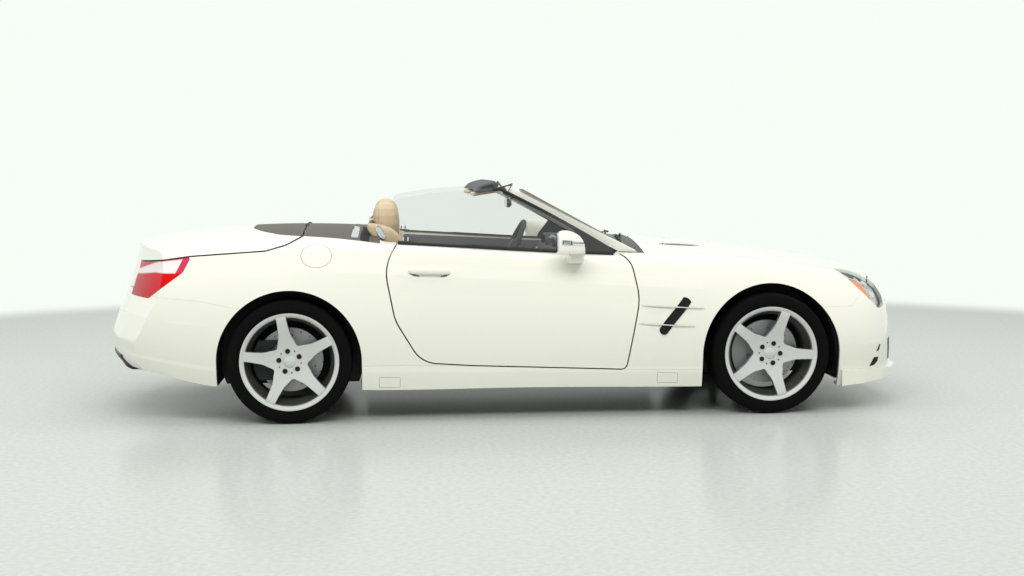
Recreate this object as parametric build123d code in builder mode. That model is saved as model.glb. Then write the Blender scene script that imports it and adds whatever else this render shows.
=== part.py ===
"""Two-seat roadster with its roof stowed: body panels, doors, lids, cabin, running gear.

Millimetres. +X points forward, +Y to the car's left, +Z up; the origin is on the ground
under the middle of the body's length.
"""
from build123d import *
from collections import namedtuple
from math import cos, radians, sin
import os

# ---- driving dimensions -------------------------------------------------------------
wheelbase = 2585.0
front_overhang = 857.0
rear_overhang = 1022.0
body_width = 1877.0
nose_x = (front_overhang + wheelbase + rear_overhang) / 2
tail_x = -nose_x
front_x = nose_x - front_overhang      # front axle
rear_x = front_x - wheelbase           # rear axle
half_width = body_width / 2
side_bow = 8.0                         # how far a side's arc swells past its middle point

skin = 14.0                            # outer panels with their hems
gap = 7.0                              # around doors and lids
seam = 0.6                             # between fixed panels
play = 0.3                             # between pieces bolted to each other

front_tyre_radius = 330.0
front_tyre_width = 255.0
front_track = 1584.0
rear_tyre_radius = 327.0
rear_tyre_width = 285.0
rear_track = 1564.0
front_arch_radius = 384.0
rear_arch_radius = 376.0
kingpin_inset = 75.0                   # kingpin axis inboard of the tyre's middle
kingpin_y = front_track / 2 - kingpin_inset

cabin_half = 742.0                     # inner faces of the doors
cabin_rear = -735.0                    # front face of the bulkhead behind the seats
cabin_front = 560.0                    # rear face of the cowl panel
floor_z = 176.0                        # underside of the floor
sheet = 12.0                           # floor and bulkhead thickness

# ---- body envelope ------------------------------------------------------------------
Station = namedtuple("Station", "x z_low y_low z_wide tuck z_shoulder y_shoulder z_crown shoulder_r")
# tuck is how far the widest point lies inside half the body's width
stations = [
    Station(tail_x - 30, 300, 560, 420, 318, 780, 540, 850, 60),
    Station(tail_x + 60, 296, 660, 430, 215, 830, 640, 895, 60),
    Station(tail_x + 160, 292, 752, 440, 120, 868, 712, 932, 62),
    Station(tail_x + 290, 282, 826, 460, 52, 892, 772, 962, 70),
    Station(rear_x - 490, 222, 868, 500, 16, 914, 800, 994, 84),
    Station(rear_x, 182, 888, 550, 0, 942, 818, 1018, 96),
    Station(rear_x + 480, 168, 884, 560, 10, 932, 838, 1003, 70),
    Station(rear_x + 1210, 168, 882, 560, 16, 886, 848, 962, 56),
    Station(front_x - 750, 160, 884, 540, 12, 857, 838, 944, 70),
    Station(front_x, 152, 888, 500, 0, 826, 800, 872, 104),
    Station(front_x + 325, 146, 862, 480, 22, 772, 752, 830, 108),
    Station(front_x + 585, 150, 800, 460, 84, 706, 694, 780, 98),
    Station(nose_x - 160, 165, 690, 440, 195, 640, 590, 741, 86),
    Station(nose_x - 97, 185, 580, 430, 330, 600, 480, 715, 74),
    Station(nose_x - 52, 205, 450, 425, 475, 575, 370, 684, 62),
    Station(nose_x - 27, 225, 360, 420, 580, 560, 300, 655, 52),
    Station(nose_x - 17, 250, 270, 410, 665, 535, 220, 605, 44),
]
tail_bow = 1700.0                      # plan radius of the tail
# distance ahead of the rearmost point, height, rounding
tail_profile = [(190, 0, 0), (150, 232, 0), (82, 250, 30), (16, 328, 90), (0, 440, 90), (44, 572, 70),
                (86, 657, 60), (138, 822, 200), (166, 955, 0), (210, 1300, 0)]
lip_plan = [(1700, -100, 0), (1700, 930, 0), (1900, 902, 100), (2040, 812, 120), (2124, 700, 120),
            (2204, 500, 160), (nose_x, 300, 100), (nose_x, -100, 0)]
lip_profile = [(1700, 140, 0), (1700, 236, 0), (2000, 232, 0), (nose_x + 10, 214, 0), (nose_x + 10, 192, 0)]
lip_width = 46.0
lip_start = 1772.0                     # where the lip leaves the front arch


def section(st, inset):
    """The left half of one cross-section of the body, inset from the outer skin."""
    low, shoulder, crown = st.z_low + inset, st.z_shoulder - inset, st.z_crown - inset
    y_low, y_wide = st.y_low - inset, half_width - side_bow - st.tuck - inset
    y_shoulder = st.y_shoulder - 0.8 * inset
    with BuildSketch(Plane.YZ.offset(st.x * (nose_x - inset) / nose_x)) as sketch:
        with BuildLine():
            TangentArc((0, crown), (y_shoulder, shoulder), tangent=(1, 0))
            ThreePointArc((y_shoulder, shoulder), (y_wide, st.z_wide), (y_low, low))
            Polyline((y_low, low), (0, low), (0, crown))
        make_face()
        corners = sketch.vertices().filter_by(lambda v: v.X > 1).sort_by(Axis.Y)
        fillet(corners[-1], st.shoulder_r)
        fillet(corners[0], 26)
    return sketch.sketch


def envelope(inset):
    """The body's left half as one solid, closed behind by the tail's own curved face."""
    axis_x = tail_x + tail_bow
    with BuildPart() as body:
        for st in stations:
            add(section(st, inset))
        loft()
        with BuildSketch(Plane.XZ) as tail:
            with BuildLine():
                Polyline([(tail_x + ahead + inset, z) for ahead, z, _ in tail_profile]
                         + [(axis_x, tail_profile[-1][1]), (axis_x, 0)], close=True)
            make_face()
            for ahead, z, rounding in tail_profile:
                if rounding:
                    fillet(tail.vertices().sort_by_distance((tail_x + ahead + inset, z, 0))[0], rounding)
        with BuildPart(mode=Mode.INTERSECT):
            add(tail.sketch)
            revolve(axis=Axis((axis_x, 0, 0), (0, 0, 1)), revolution_arc=360)
            with Locations((axis_x + 2000, 0, 700)):
                Box(4000, 3000, 2000)
    return body.part


def outline(corners, plane):
    """Closed outline of straight edges whose corners are (x, z, rounding)."""
    with BuildSketch(plane) as sketch:
        with BuildLine():
            Polyline([(c[0], c[1]) for c in corners], close=True)
        make_face()
        for x, z, rounding in corners:
            if rounding:
                fillet(sketch.vertices().sort_by_distance((x, z, 0))[0], rounding)
    return sketch


def side_prism(corners, grow=0.0, y_from=-1.0, y_to=1100.0):
    """Left half's prism of a side-view outline, grown outwards by a gap."""
    with BuildPart() as prism:
        with BuildSketch(Plane.XZ.offset(-y_from)):
            add(outline(corners, Plane.XZ).sketch_local)
            if grow:
                offset(amount=grow, kind=Kind.INTERSECTION)
        extrude(amount=y_from - y_to)
    return prism.part


def plan_prism(corners, grow=0.0, z_from=0.0, z_to=1500.0):
    """Prism of a plan-view outline of the left half."""
    with BuildPart() as prism:
        with BuildSketch(Plane.XY.offset(z_from)):
            add(outline(corners, Plane.XY).sketch_local)
            if grow:
                offset(amount=grow, kind=Kind.INTERSECTION)
        extrude(amount=z_to - z_from)
    return prism.part


def front_prism(corners, x_from, x_to, grow=0.0):
    """Prism along the car of an outline seen from the front, as (y, z, rounding)."""
    with BuildPart() as prism:
        with BuildSketch(Plane.YZ.offset(x_from)):
            add(outline(corners, Plane.YZ).sketch_local)
            if grow:
                offset(amount=grow, kind=Kind.INTERSECTION)
        extrude(amount=x_to - x_from)
    return prism.part


def block(x0, x1, y0, y1, z0, z1, rounding=0.0):
    with BuildPart() as box:
        with Locations(((x0 + x1) / 2, (y0 + y1) / 2, (z0 + z1) / 2)):
            Box(x1 - x0, y1 - y0, z1 - z0)
        if rounding:
            fillet(box.edges(), rounding)
    return box.part


def bar(start, end, radius):
    """Round bar between two points."""
    with BuildPart() as rod:
        run = Vector(*end) - Vector(*start)
        with BuildSketch(Plane(origin=start, z_dir=run)):
            Circle(radius)
        extrude(amount=run.length)
    return rod.part


def cut(part, *tools):
    with BuildPart() as piece:
        add(part)
        for tool in tools:
            add(tool, mode=Mode.SUBTRACT)
    return piece.part


def common(part, *tools):
    with BuildPart() as piece:
        add(part)
        for tool in tools:
            add(tool, mode=Mode.INTERSECT)
    return piece.part


def merge(*parts):
    with BuildPart() as piece:
        for part in parts:
            add(part)
    return piece.part


def mirrored(part):
    with BuildPart() as piece:
        add(part)
        mirror(about=Plane.XZ, mode=Mode.REPLACE)
    return piece.part


def both(part):
    """A left half joined to its mirror image."""
    with BuildPart() as piece:
        add(part)
        mirror(about=Plane.XZ)
    return piece.part


def write(part, name):
    part.label = name
    export_step(part, f"parts/{name}.step")
    print(name, len(part.solids()), round(part.volume / 1e6, 2), part.is_valid)


def write_pair(part, name):
    write(part, f"{name}_left")
    write(mirrored(part), f"{name}_right")


os.makedirs("parts", exist_ok=True)

outer = envelope(0)
inner = envelope(skin)
shell = cut(outer, inner)

# ---- side-view and plan-view outlines of the panels, (x, z, rounding) ---------------
door_outline = [(-612, 1100, 0), (-640, 940, 0), (-712, 830, 240), (-655, 540, 240), (-520, 316, 150), (-250, 296, 0),
                (572, 262, 30), (646, 640, 300), (606, 842, 120), (515, 896, 0), (500, 1100, 0)]
bonnet_back = 700.0
bonnet_plan = [(bonnet_back, -20, 0), (bonnet_back, 726, 20), (1500, 690, 0), (1800, 610, 120),
               (2050, 436, 140), (2126, 200, 200), (2140, 0, 0), (2140, -20, 0)]
bonnet_floor = 560.0
lamp_outline = [(1796, 775, 0), (1858, 712, 40), (2020, 560, 14), (2092, 560, 30), (2110, 700, 0),
                (2040, 775, 0)]
lamp_inner_y = 400.0
bumper_front = [(1600, 40, 0), (1600, 582, 0), (1840, 582, 40), (1900, 640, 0), (1900, 1100, 0),
                (2500, 1100, 0), (2500, 40, 0)]
lid_front = -1150.0
lid_outline = [(lid_front, 1300, 0), (lid_front, 977, 0), (-1225, 940, 60), (-1330, 910, 80),
               (-1720, 884, 0), (-1985, 848, 30), (-2500, 800, 0), (-2500, 1300, 0)]
lid_rear = [(-1900, 700, 0), (-2500, 700, 0), (-2500, 900, 0), (-1900, 900, 0)]
lid_rear_half = 470.0
# dark deck panel on the lid, painted metal round it
deck_outline = [(-1440, 1300, 0), (-1440, 1005, 12), (-1375, 994, 60), (-1272, 981, 60), (lid_front + 12, 974, 0),
                (lid_front + 12, 1300, 0)]
tail_lamp = [(-1712, 878, 8), (-1750, 800, 30), (-1936, 662, 20), (-2240, 662, 0), (-2240, 838, 0),
             (-1985, 842, 30)]
tail_lamp_inner = lid_rear_half + gap
bumper_rear = [(-1450, 40, 0), (-1450, 606, 0), (-1655, 650, 200), (-1920, 678, 0), (-1930, 693, 0),
               (-2500, 693, 0), (-2500, 40, 0)]
sill_outline = [(-900, 40, 0), (-900, 300, 0), (-560, 300, 0), (-250, 291, 0), (572, 257, 0), (1100, 250, 0),
                (1100, 40, 0)]
cabin_plan = [(cabin_rear, -20, 0), (cabin_rear, cabin_half, 60), (cabin_front, cabin_half, 60),
              (cabin_front, -20, 0)]
cowl_plan = [(cabin_front, -20, 0), (cabin_front, 730, 20), (bonnet_back, 730, 0), (bonnet_back, -20, 0)]
deck_plan = [(cabin_rear, -20, 0), (cabin_rear, 786, 0), (-946, 692, 300), (lid_front, 622, 0), (lid_front, -20, 0)]
grille_face = [(-20, 462, 0), (-20, 626, 0), (300, 618, 40), (352, 560, 40), (290, 462, 40)]
intake_face = [(-20, 246, 0), (-20, 396, 0), (270, 396, 40), (320, 246, 40)]
corner_intake = [(420, 250, 20), (460, 376, 30), (716, 384, 20), (690, 262, 30)]

door_prism = side_prism(door_outline, y_from=cabin_half)
door_cutter = side_prism(door_outline, grow=gap, y_from=cabin_half - gap)
bonnet_prism = plan_prism(bonnet_plan, z_from=bonnet_floor)
bonnet_cutter = plan_prism(bonnet_plan, grow=gap, z_from=bonnet_floor - gap)
lid_prism = merge(side_prism(lid_outline), side_prism(lid_rear, y_to=lid_rear_half))
lid_cutter = merge(side_prism(lid_outline, grow=gap), side_prism(lid_rear, grow=gap, y_to=lid_rear_half + gap))

with BuildPart() as arches:
    for x, hub_z, radius in [(front_x, front_tyre_radius, front_arch_radius),
                             (rear_x, rear_tyre_radius, rear_arch_radius)]:
        with BuildSketch(Plane.XZ.offset(-450)):
            with Locations((x, hub_z)):
                Circle(radius)
            with Locations((x, hub_z / 2)):
                Rectangle(2 * radius, hub_z)
        extrude(amount=-700)
underside = block(-1930, 1960, -20, 800, 0, 420)

skin_arched = cut(shell, arches.part, underside)

# ---- doors, bonnet and boot lid -----------------------------------------------------
hinge_pin = 4.0                        # radius of the door hinge pins
pin_play = 0.1
door_axis_x = 520.0
door_axis_y = 898.0
door_hinges = [360.0, 600.0]
post_x0, post_x1 = 470.0, 640.0        # pillar that carries the door hinges
post_y = 722.0

glass_low = (772.0, 890.0)             # (y, z) on the side windows' plane
glass_high = (662.0, 1215.0)
glass_t = 5.0
window_outline = [(478, 832, 0), (504, 930, 20), (239, 1118, 0), (-70, 1240, 40), (-250, 1222, 0),
                  (-465, 1205, 0), (-668, 1170, 40), (-622, 940, 0), (-622, 832, 0)]


def window(grow, sink):
    """A flat side window in its leaning plane, grown by a clearance and sunk lower by `sink`."""
    lean = (glass_high[0] - glass_low[0]) / (glass_high[1] - glass_low[1])
    with BuildPart() as pane:
        with BuildSketch(Plane.YZ.offset(-2000)):
            with BuildLine():
                y0, z0 = glass_low
                reach = 500
                Polyline([(y0 - lean * reach - grow, z0 - reach), (y0 - lean * reach + glass_t + grow, z0 - reach),
                          (y0 + lean * reach + glass_t + grow, z0 + reach),
                          (y0 + lean * reach - grow, z0 + reach)], close=True)
            make_face()
        extrude(amount=4000)
        with BuildPart(mode=Mode.INTERSECT):
            with BuildSketch(Plane.XZ):
                add(outline(window_outline, Plane.XZ).sketch_local)
                if grow:
                    offset(amount=grow, kind=Kind.INTERSECTION)
            extrude(amount=-1100)
        if sink:
            with Locations((0, 700, window_outline[0][1])):
                Box(4000, 600, 2 * sink, mode=Mode.SUBTRACT)
    return pane.part


swing_y = 806.0                        # inner face ahead of the hinges, where the door swings in past the post
door_solid = cut(common(cut(outer, arches.part), door_prism), block(post_x0 - 10, 760, 600, swing_y, 0, 806))
arm_half = 13.0                        # half the height of a hinge arm
pockets = [block(door_axis_x - 16, 720, 700, door_axis_y + 8, z - arm_half - 3, z + arm_half + 3)
           for z in door_hinges]
bores = [bar((door_axis_x, door_axis_y, z - 40), (door_axis_x, door_axis_y, z + 40), hinge_pin + pin_play)
         for z in door_hinges]
door_arms = [merge(block(door_axis_x - 9, door_axis_x + 9, post_y, door_axis_y, z - arm_half, z + arm_half),
                   bar((door_axis_x, door_axis_y, z - arm_half), (door_axis_x, door_axis_y, z + arm_half), 7.0),
                   bar((door_axis_x, door_axis_y, z - 39), (door_axis_x, door_axis_y, z + 39), hinge_pin))
             for z in door_hinges]
door = cut(door_solid, window(play, 0), *pockets, *bores)
door_glass = window(0, 0)

bonnet_hinge = (bonnet_back - gap / 2, 936.0)
lid_hinge = (lid_front + gap / 2, 1017.5)


def barrel(axis, y0, y1, radius):
    x, z = axis
    return bar((x, y0, z), (x, y1, z), radius)


def hinge(axis, side, y):
    """Fixed ears with their pin, and the moving barrel between them, `side` being the lid's side."""
    x, z = axis
    ears = [merge(barrel(axis, y0, y0 + 10, 5), block(min(x, x - side * 11), max(x, x - side * 11), y0, y0 + 10, z - 5, z + 2))
            for y0 in (y - 30 - play, y + 20 + play)]
    fixed = merge(*ears, barrel(axis, y - 30, y + 30, 3))
    moving = merge(barrel(axis, y - 20, y + 20, 5),
                   block(min(x, x + side * 11), max(x, x + side * 11), y - 20, y + 20, z - 5, z + 2))
    moving = cut(moving, barrel(axis, y - 25, y + 25, 3 + pin_play))
    notch_fixed = block(x - 7, x + 7, y - 20 - play, y + 20 + play, z - 9, z + 12)
    notch_moving = merge(block(x - 7, x + 7, y - 32, y - 20, z - 9, z + 12), block(x - 7, x + 7, y + 20, y + 32, z - 9, z + 12))
    return fixed, moving, notch_fixed, notch_moving


bonnet_fixed, bonnet_moving, bonnet_notch_fixed, bonnet_notch_moving = hinge(bonnet_hinge, 1, 120)
lid_fixed, lid_moving, lid_notch_fixed, lid_notch_moving = hinge(lid_hinge, -1, 150)
bonnet = merge(cut(common(skin_arched, bonnet_prism), bonnet_notch_moving), bonnet_moving)
lid_all = merge(cut(common(skin_arched, lid_prism), lid_notch_moving), lid_moving)
deck_panel = common(lid_all, side_prism(deck_outline))
boot_lid = cut(lid_all, side_prism(deck_outline, grow=seam))
fixed = cut(skin_arched, door_cutter, bonnet_cutter, lid_cutter, plan_prism(cabin_plan, z_from=500))

# ---- fixed outer panels -------------------------------------------------------------
lamp_prism = side_prism(lamp_outline, y_from=lamp_inner_y)
tail_lamp_prism = side_prism(tail_lamp, y_from=tail_lamp_inner)
headlamps = common(fixed, lamp_prism)
tail_lamps = common(fixed, tail_lamp_prism)
fixed = cut(fixed, side_prism(lamp_outline, grow=seam, y_from=lamp_inner_y - seam),
            side_prism(tail_lamp, grow=seam, y_from=tail_lamp_inner - seam))
front_bumper = common(fixed, side_prism(bumper_front))
rear_bumper = common(fixed, side_prism(bumper_rear))
sills = common(fixed, side_prism(sill_outline))
cowl = merge(cut(common(fixed, plan_prism(cowl_plan, z_from=500)), bonnet_notch_fixed), bonnet_fixed)
rear_deck = merge(cut(common(fixed, plan_prism(deck_plan, z_from=500)), lid_notch_fixed), lid_fixed)
fixed = cut(fixed, side_prism(bumper_front, grow=seam), side_prism(bumper_rear, grow=seam),
            side_prism(sill_outline, grow=seam), plan_prism(cowl_plan, grow=seam, z_from=500),
            plan_prism(deck_plan, grow=seam, z_from=500))
front_fender = common(fixed, block(0, 3000, -20, 1100, 0, 1300))
rear_quarter = common(fixed, block(-3000, 0, -20, 1100, 0, 1300))

vents = [(grille_face, 1900), (intake_face, 1900), (corner_intake, 1800)]
grille = merge(*[common(front_bumper, front_prism(face, x0, 2400)) for face, x0 in vents])
front_bumper = cut(front_bumper, *[front_prism(face, x0, 2400, grow=seam) for face, x0 in vents])
lip_low, lip_high = lip_profile[0][1], lip_profile[1][1]
lip = cut(common(side_prism(lip_profile, y_from=0), plan_prism(lip_plan, z_from=lip_low, z_to=lip_high)),
          plan_prism(lip_plan, grow=-lip_width, z_from=lip_low, z_to=lip_high), arches.part,
          block(1600, lip_start, -20, 1100, 0, 400))
front_bumper = merge(front_bumper, lip)

# ---- windscreen and its frame -------------------------------------------------------
screen_base = (646.0, 932.0)           # (x, z) of the glass's lower edge on the centre line
screen_top = (44.0, 1234.0)
screen_sag = 52.0                      # how far its sides fall behind the middle, across its plane
screen_bow = 750.0
header_reach = 732.0                   # up the slope to the header's rear edge
screen_run = Vector(screen_top[0] - screen_base[0], 0, screen_top[1] - screen_base[1])
glass_reach = screen_run.length
frame_foot, frame_head = 722.0, 640.0
pillar = 50.0


def screen_band(over, under):
    """Curved band along the windscreen's slope, `over` outside its face and `under` inside it."""
    with BuildPart() as band:
        with BuildSketch(Plane(origin=(screen_base[0], 0, screen_base[1]), x_dir=(0, 1, 0), z_dir=screen_run)):
            with BuildLine():
                ThreePointArc((-screen_bow, screen_sag - over), (0, -over), (screen_bow, screen_sag - over))
                Line((screen_bow, screen_sag - over), (screen_bow, screen_sag + under))
                ThreePointArc((screen_bow, screen_sag + under), (0, under), (-screen_bow, screen_sag + under))
                Line((-screen_bow, screen_sag + under), (-screen_bow, screen_sag - over))
            make_face()
        extrude(amount=header_reach + 100)
        extrude(to_extrude=band.faces().sort_by(Axis.X)[-1], amount=200)
    return band.part


def screen_mask(foot, head, start, end, rounding):
    """Prism across the windscreen's plane: half widths at the base and the top, extent up the slope."""
    normal = Vector(-screen_run.Z, 0, screen_run.X) * -1
    with BuildPart() as mask:
        with BuildSketch(Plane(origin=(screen_base[0], 0, screen_base[1]), x_dir=(0, 1, 0), z_dir=normal)) as face:
            with BuildLine():
                Polyline([(-foot, start), (foot, start), (head, end), (-head, end)], close=True)
            make_face()
            fillet(face.vertices().sort_by(Axis.Y)[-2:], rounding)
        extrude(amount=300, both=True)
    return mask.part


hole_foot, hole_head = frame_foot - pillar, frame_head - pillar
windscreen_frame = cut(common(screen_band(8, 34), screen_mask(frame_foot, frame_head, -160, header_reach, 70)),
                       screen_mask(hole_foot + 10, hole_head, -300, glass_reach, 40))
windscreen_glass = common(screen_band(0, glass_t), screen_mask(hole_foot + 10 - play, hole_head - play, -300,
                                                         glass_reach - play, 40))
body_top = both(outer)
windscreen_frame = cut(windscreen_frame, body_top)
windscreen_glass = cut(windscreen_glass, body_top)

# ---- floor, bulkheads and wheel houses ----------------------------------------------
firewall_x = 640.0
bulkhead_x = cabin_rear - 10
bulkhead_top = 900.0
well_inner = {front_x: 478.0, rear_x: 590.0}
well_outer = {front_x: 826.0, rear_x: 840.0}
boot_floor_z = 380.0
liner = 6.0
wells = []
hollows = []
for x, hub_z, radius in [(front_x, front_tyre_radius, front_arch_radius + 3),
                         (rear_x, rear_tyre_radius, rear_arch_radius + 3)]:
    with BuildPart() as housing:
        with BuildSketch(Plane.XZ.offset(-well_inner[x] + liner)):
            with Locations((x, hub_z)):
                Circle(radius + liner)
        extrude(amount=-(well_outer[x] - well_inner[x] + liner))
    with BuildPart() as hollow:
        with BuildSketch(Plane.XZ.offset(-well_inner[x])):
            with Locations((x, hub_z)):
                Circle(radius)
            with Locations((x, hub_z / 2 - 40)):
                Rectangle(2 * radius, hub_z + 80)
        extrude(amount=-500)
    wells.append(housing.part)
    hollows.append(hollow.part)
below = block(-3000, 3000, -20, 1200, -400, floor_z)
floor_edge = 799.6
floor_half = merge(
    block(bulkhead_x - sheet, 1800, 0, floor_edge, floor_z, floor_z + sheet),
    block(-1930, bulkhead_x, 0, floor_edge, boot_floor_z - sheet, boot_floor_z),
    block(bulkhead_x - sheet, bulkhead_x, 0, 726, floor_z, bulkhead_top),
    block(firewall_x, firewall_x + sheet, 0, 718, floor_z, 840),
    block(-830, 985, 744, 850, floor_z + sheet, 250),
    block(post_x0, post_x1, post_y - 30, post_y, floor_z, 800),
    block(-1930, -1930 + sheet, 0, 640, boot_floor_z, 560),
    block(1782, 1800, 0, 520, floor_z, 620),
    *wells)
arm_z = front_tyre_radius - 130
arm_slots = [block(front_x - 34, front_x + 34, 290, floor_edge, 0, arm_z + 6),
             block(rear_x - 36, rear_x + 36, 290, floor_edge, 0, rear_tyre_radius + 24)]
floor_half = merge(cut(floor_half, *hollows, *arm_slots, below), *door_arms)

# ---- running gear -------------------------------------------------------------------
Wheel = namedtuple("Wheel", "end x hub_z track tyre_w tyre_r rim_w disc_r")
wheels = [Wheel("front", front_x, front_tyre_radius, front_track, front_tyre_width, front_tyre_radius, 232, 174),
          Wheel("rear", rear_x, rear_tyre_radius, rear_track, rear_tyre_width, rear_tyre_radius, 258, 170)]
rim_flange = 258.5
bead_r = 241.0
drop_r = 214.0
rim_t = 6.0
hub_recess = 50.0                      # hub face inside the rim's outer edge
spokes = 5
spoke_tilt = {"front": -2.0, "rear": 28.0}
disc_t = 28.0
bolt_pcd = 112.0
spindle = 14.0                         # bore of discs and rims
spindle_reach = 20.0                   # spindle's end inside the rim


def turned(profile, y, x, z):
    """Solid of revolution about a wheel's axle from (radius, offset outwards) points."""
    with BuildPart() as piece:
        with BuildSketch(Plane.XY):
            with BuildLine():
                Polyline([(r, o) for r, o in profile], close=True)
            make_face()
        revolve(axis=Axis.Y, revolution_arc=360)
    return piece.part.moved(Location((x, y, z)))


def rim(w):
    y, h = w.track / 2, w.rim_w / 2
    barrel_profile = [(rim_flange, h), (rim_flange, h - 8), (bead_r + 3, h - 14), (bead_r, h - 34), (drop_r, h - 60),
                      (drop_r, 40 - h), (bead_r, 30 - h), (bead_r + 3, 14 - h), (rim_flange, 8 - h),
                      (rim_flange, -h), (rim_flange - rim_t, -h), (bead_r - rim_t, 20 - h),
                      (bead_r - rim_t, 28 - h), (drop_r - rim_t, 42 - h), (drop_r - rim_t, h - 60),
                      (bead_r - rim_t, h - 36), (bead_r - rim_t, h - 14), (rim_flange - rim_t - 4, h)]
    face = h - hub_recess
    with BuildPart() as wheel:
        add(turned(barrel_profile, 0, 0, 0))
        with BuildSketch(Plane.XZ.offset(-face)):
            Circle(78)
        extrude(amount=42)
        with BuildSketch(Plane.XZ.offset(-(h - 22))):
            for k in range(spokes):
                with Locations(Rotation(0, 0, spoke_tilt[w.end] + 360 / spokes * k)):
                    Polygon((0, -34), (bead_r - 2, -25), (bead_r - 2, 25), (0, 34), align=None)
            Circle(66, mode=Mode.SUBTRACT)
        extrude(amount=32)
        with BuildSketch(Plane.XZ.offset(-(h - 30))):
            Circle(66.5)
        extrude(amount=20)
        with BuildSketch(Plane.XZ.offset(-(h - 30))):
            with PolarLocations(bolt_pcd / 2, spokes, start_angle=spoke_tilt[w.end]):
                Circle(7.5)
        extrude(amount=200, mode=Mode.SUBTRACT)
        with BuildSketch(Plane.XZ.offset(-(face - 42))):
            Circle(spindle)
        extrude(amount=-spindle_reach - 2, mode=Mode.SUBTRACT)
    return wheel.part.moved(Location((w.x, y, w.hub_z)))


def tyre(w):
    h, t = w.rim_w / 2, w.tyre_w / 2
    profile = [(bead_r + 3 + play, h - 14 - play), (rim_flange + 2, h - 8 - play), (rim_flange + 6, t - 6),
               (rim_flange + 22, t), (w.tyre_r - 22, t - 1), (w.tyre_r - 6, t - 12), (w.tyre_r, t - 30)]
    profile += [(r, -o) for r, o in reversed(profile)]
    return turned(profile, w.track / 2, w.x, w.hub_z)


def disc_face(w):
    """Outer face of a brake disc, seated on the back of the wheel's hub pad."""
    return w.rim_w / 2 - hub_recess - 42 - play


def brake_disc(w):
    o = disc_face(w)
    profile = [(spindle, o), (80, o), (80, o - 34), (w.disc_r, o - 34), (w.disc_r, o - 34 - disc_t), (70, o - 34 - disc_t),
               (70, o - 12), (spindle, o - 12)]
    return turned(profile, w.track / 2, w.x, w.hub_z)


def caliper(w):
    """Brake caliper on the tail side of the disc, straddling its edge."""
    o = w.track / 2 + disc_face(w) - 34
    edge = w.disc_r
    with BuildPart() as piece:
        with BuildSketch(Plane.XZ.offset(-(o + 26))):
            Circle(edge + 24)
            Circle(edge - 58, mode=Mode.SUBTRACT)
            with Locations((300 - 60, 0)):
                Rectangle(600, 700, mode=Mode.SUBTRACT)
            with Locations((0, 0)):
                Rectangle(900, 210, mode=Mode.INTERSECT)
        extrude(amount=26 + disc_t + 30)
        with BuildSketch(Plane.XZ.offset(-(o + 3))):
            Circle(edge + 4)
        extrude(amount=disc_t + 6, mode=Mode.SUBTRACT)
    return piece.part.moved(Location((w.x, 0, w.hub_z)))


def upright(w):
    """Hub carrier behind the disc, with its spindle through disc and wheel and its caliper."""
    back = w.track / 2 + disc_face(w) - 34 - disc_t
    y0 = back - 30 - 34
    carrier = merge(block(w.x - 45, w.x + 45, y0, y0 + 34, w.hub_z - 130, w.hub_z + 130),
                    block(w.x - 180, w.x - 40, y0 + 4, y0 + 34, w.hub_z - 60, w.hub_z + 60),
                    bar((w.x, y0, w.hub_z), (w.x, back + 14, w.hub_z), 62.0),
                    bar((w.x, y0, w.hub_z), (w.x, w.track / 2 + disc_face(w) - 12 - play, w.hub_z), 40.0),
                    bar((w.x, y0, w.hub_z), (w.x, w.track / 2 + disc_face(w) + spindle_reach, w.hub_z), spindle - pin_play),
                    caliper(w))
    return carrier, y0


front, rear = wheels
knuckle, knuckle_y = upright(front)
carrier, carrier_y = upright(rear)
joint_pin = 9.0
knuckle_lug = block(front_x - 30, front_x + 30, kingpin_y - 26, kingpin_y + 8, arm_z, arm_z + 30)
knuckle = cut(merge(knuckle, knuckle_lug), bar((front_x, kingpin_y, arm_z - 30), (front_x, kingpin_y, arm_z + 60),
                                               joint_pin + pin_play))
front_arm = merge(block(front_x - 28, front_x + 28, 300, kingpin_y + 8, arm_z - 24 - play, arm_z - play),
                  bar((front_x, kingpin_y, arm_z - 20), (front_x, kingpin_y, arm_z + 20), joint_pin),
                  block(front_x - 160, front_x + 60, -0, 320, floor_z + sheet, floor_z + sheet + 34))
rear_arm_z = rear_tyre_radius - 100
rear_axle = merge(carrier,
                  block(rear_x - 30, rear_x + 30, 300, carrier_y + 5, rear_arm_z - 20, rear_arm_z + 20),
                  block(rear_x - 120, rear_x + 120, 0, 320, rear_arm_z - 30, boot_floor_z - sheet - play),
                  bar((rear_x, 300, rear_tyre_radius), (rear_x, carrier_y + 5, rear_tyre_radius), 18.0))

# ---- engine, exhaust ----------------------------------------------------------------
engine_base = floor_z + sheet + 34 + play
engine_block = block(760, front_x + 30, -290, 290, engine_base, 760, 30)
tail_pipe = (-2150.0, 540.0, 292.0)    # middle of each tail pipe's mouth
pipe_r = 34.0
pipe_start = (-1880, tail_pipe[1], tail_pipe[2] - 16)
pipe_end = (tail_pipe[0] - 40, tail_pipe[1], tail_pipe[2])
exhaust = merge(block(-1900, -1660, 250, 640, 225, boot_floor_z - sheet - play, 12), bar(pipe_start, pipe_end, pipe_r))
rear_bumper = cut(rear_bumper, bar(pipe_start, (-2400, tail_pipe[1], tail_pipe[2]), pipe_r + 8),
                  block(-2400, -1800, tail_pipe[1] - pipe_r - 8, tail_pipe[1] + pipe_r + 8, 0, tail_pipe[2]))

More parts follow.
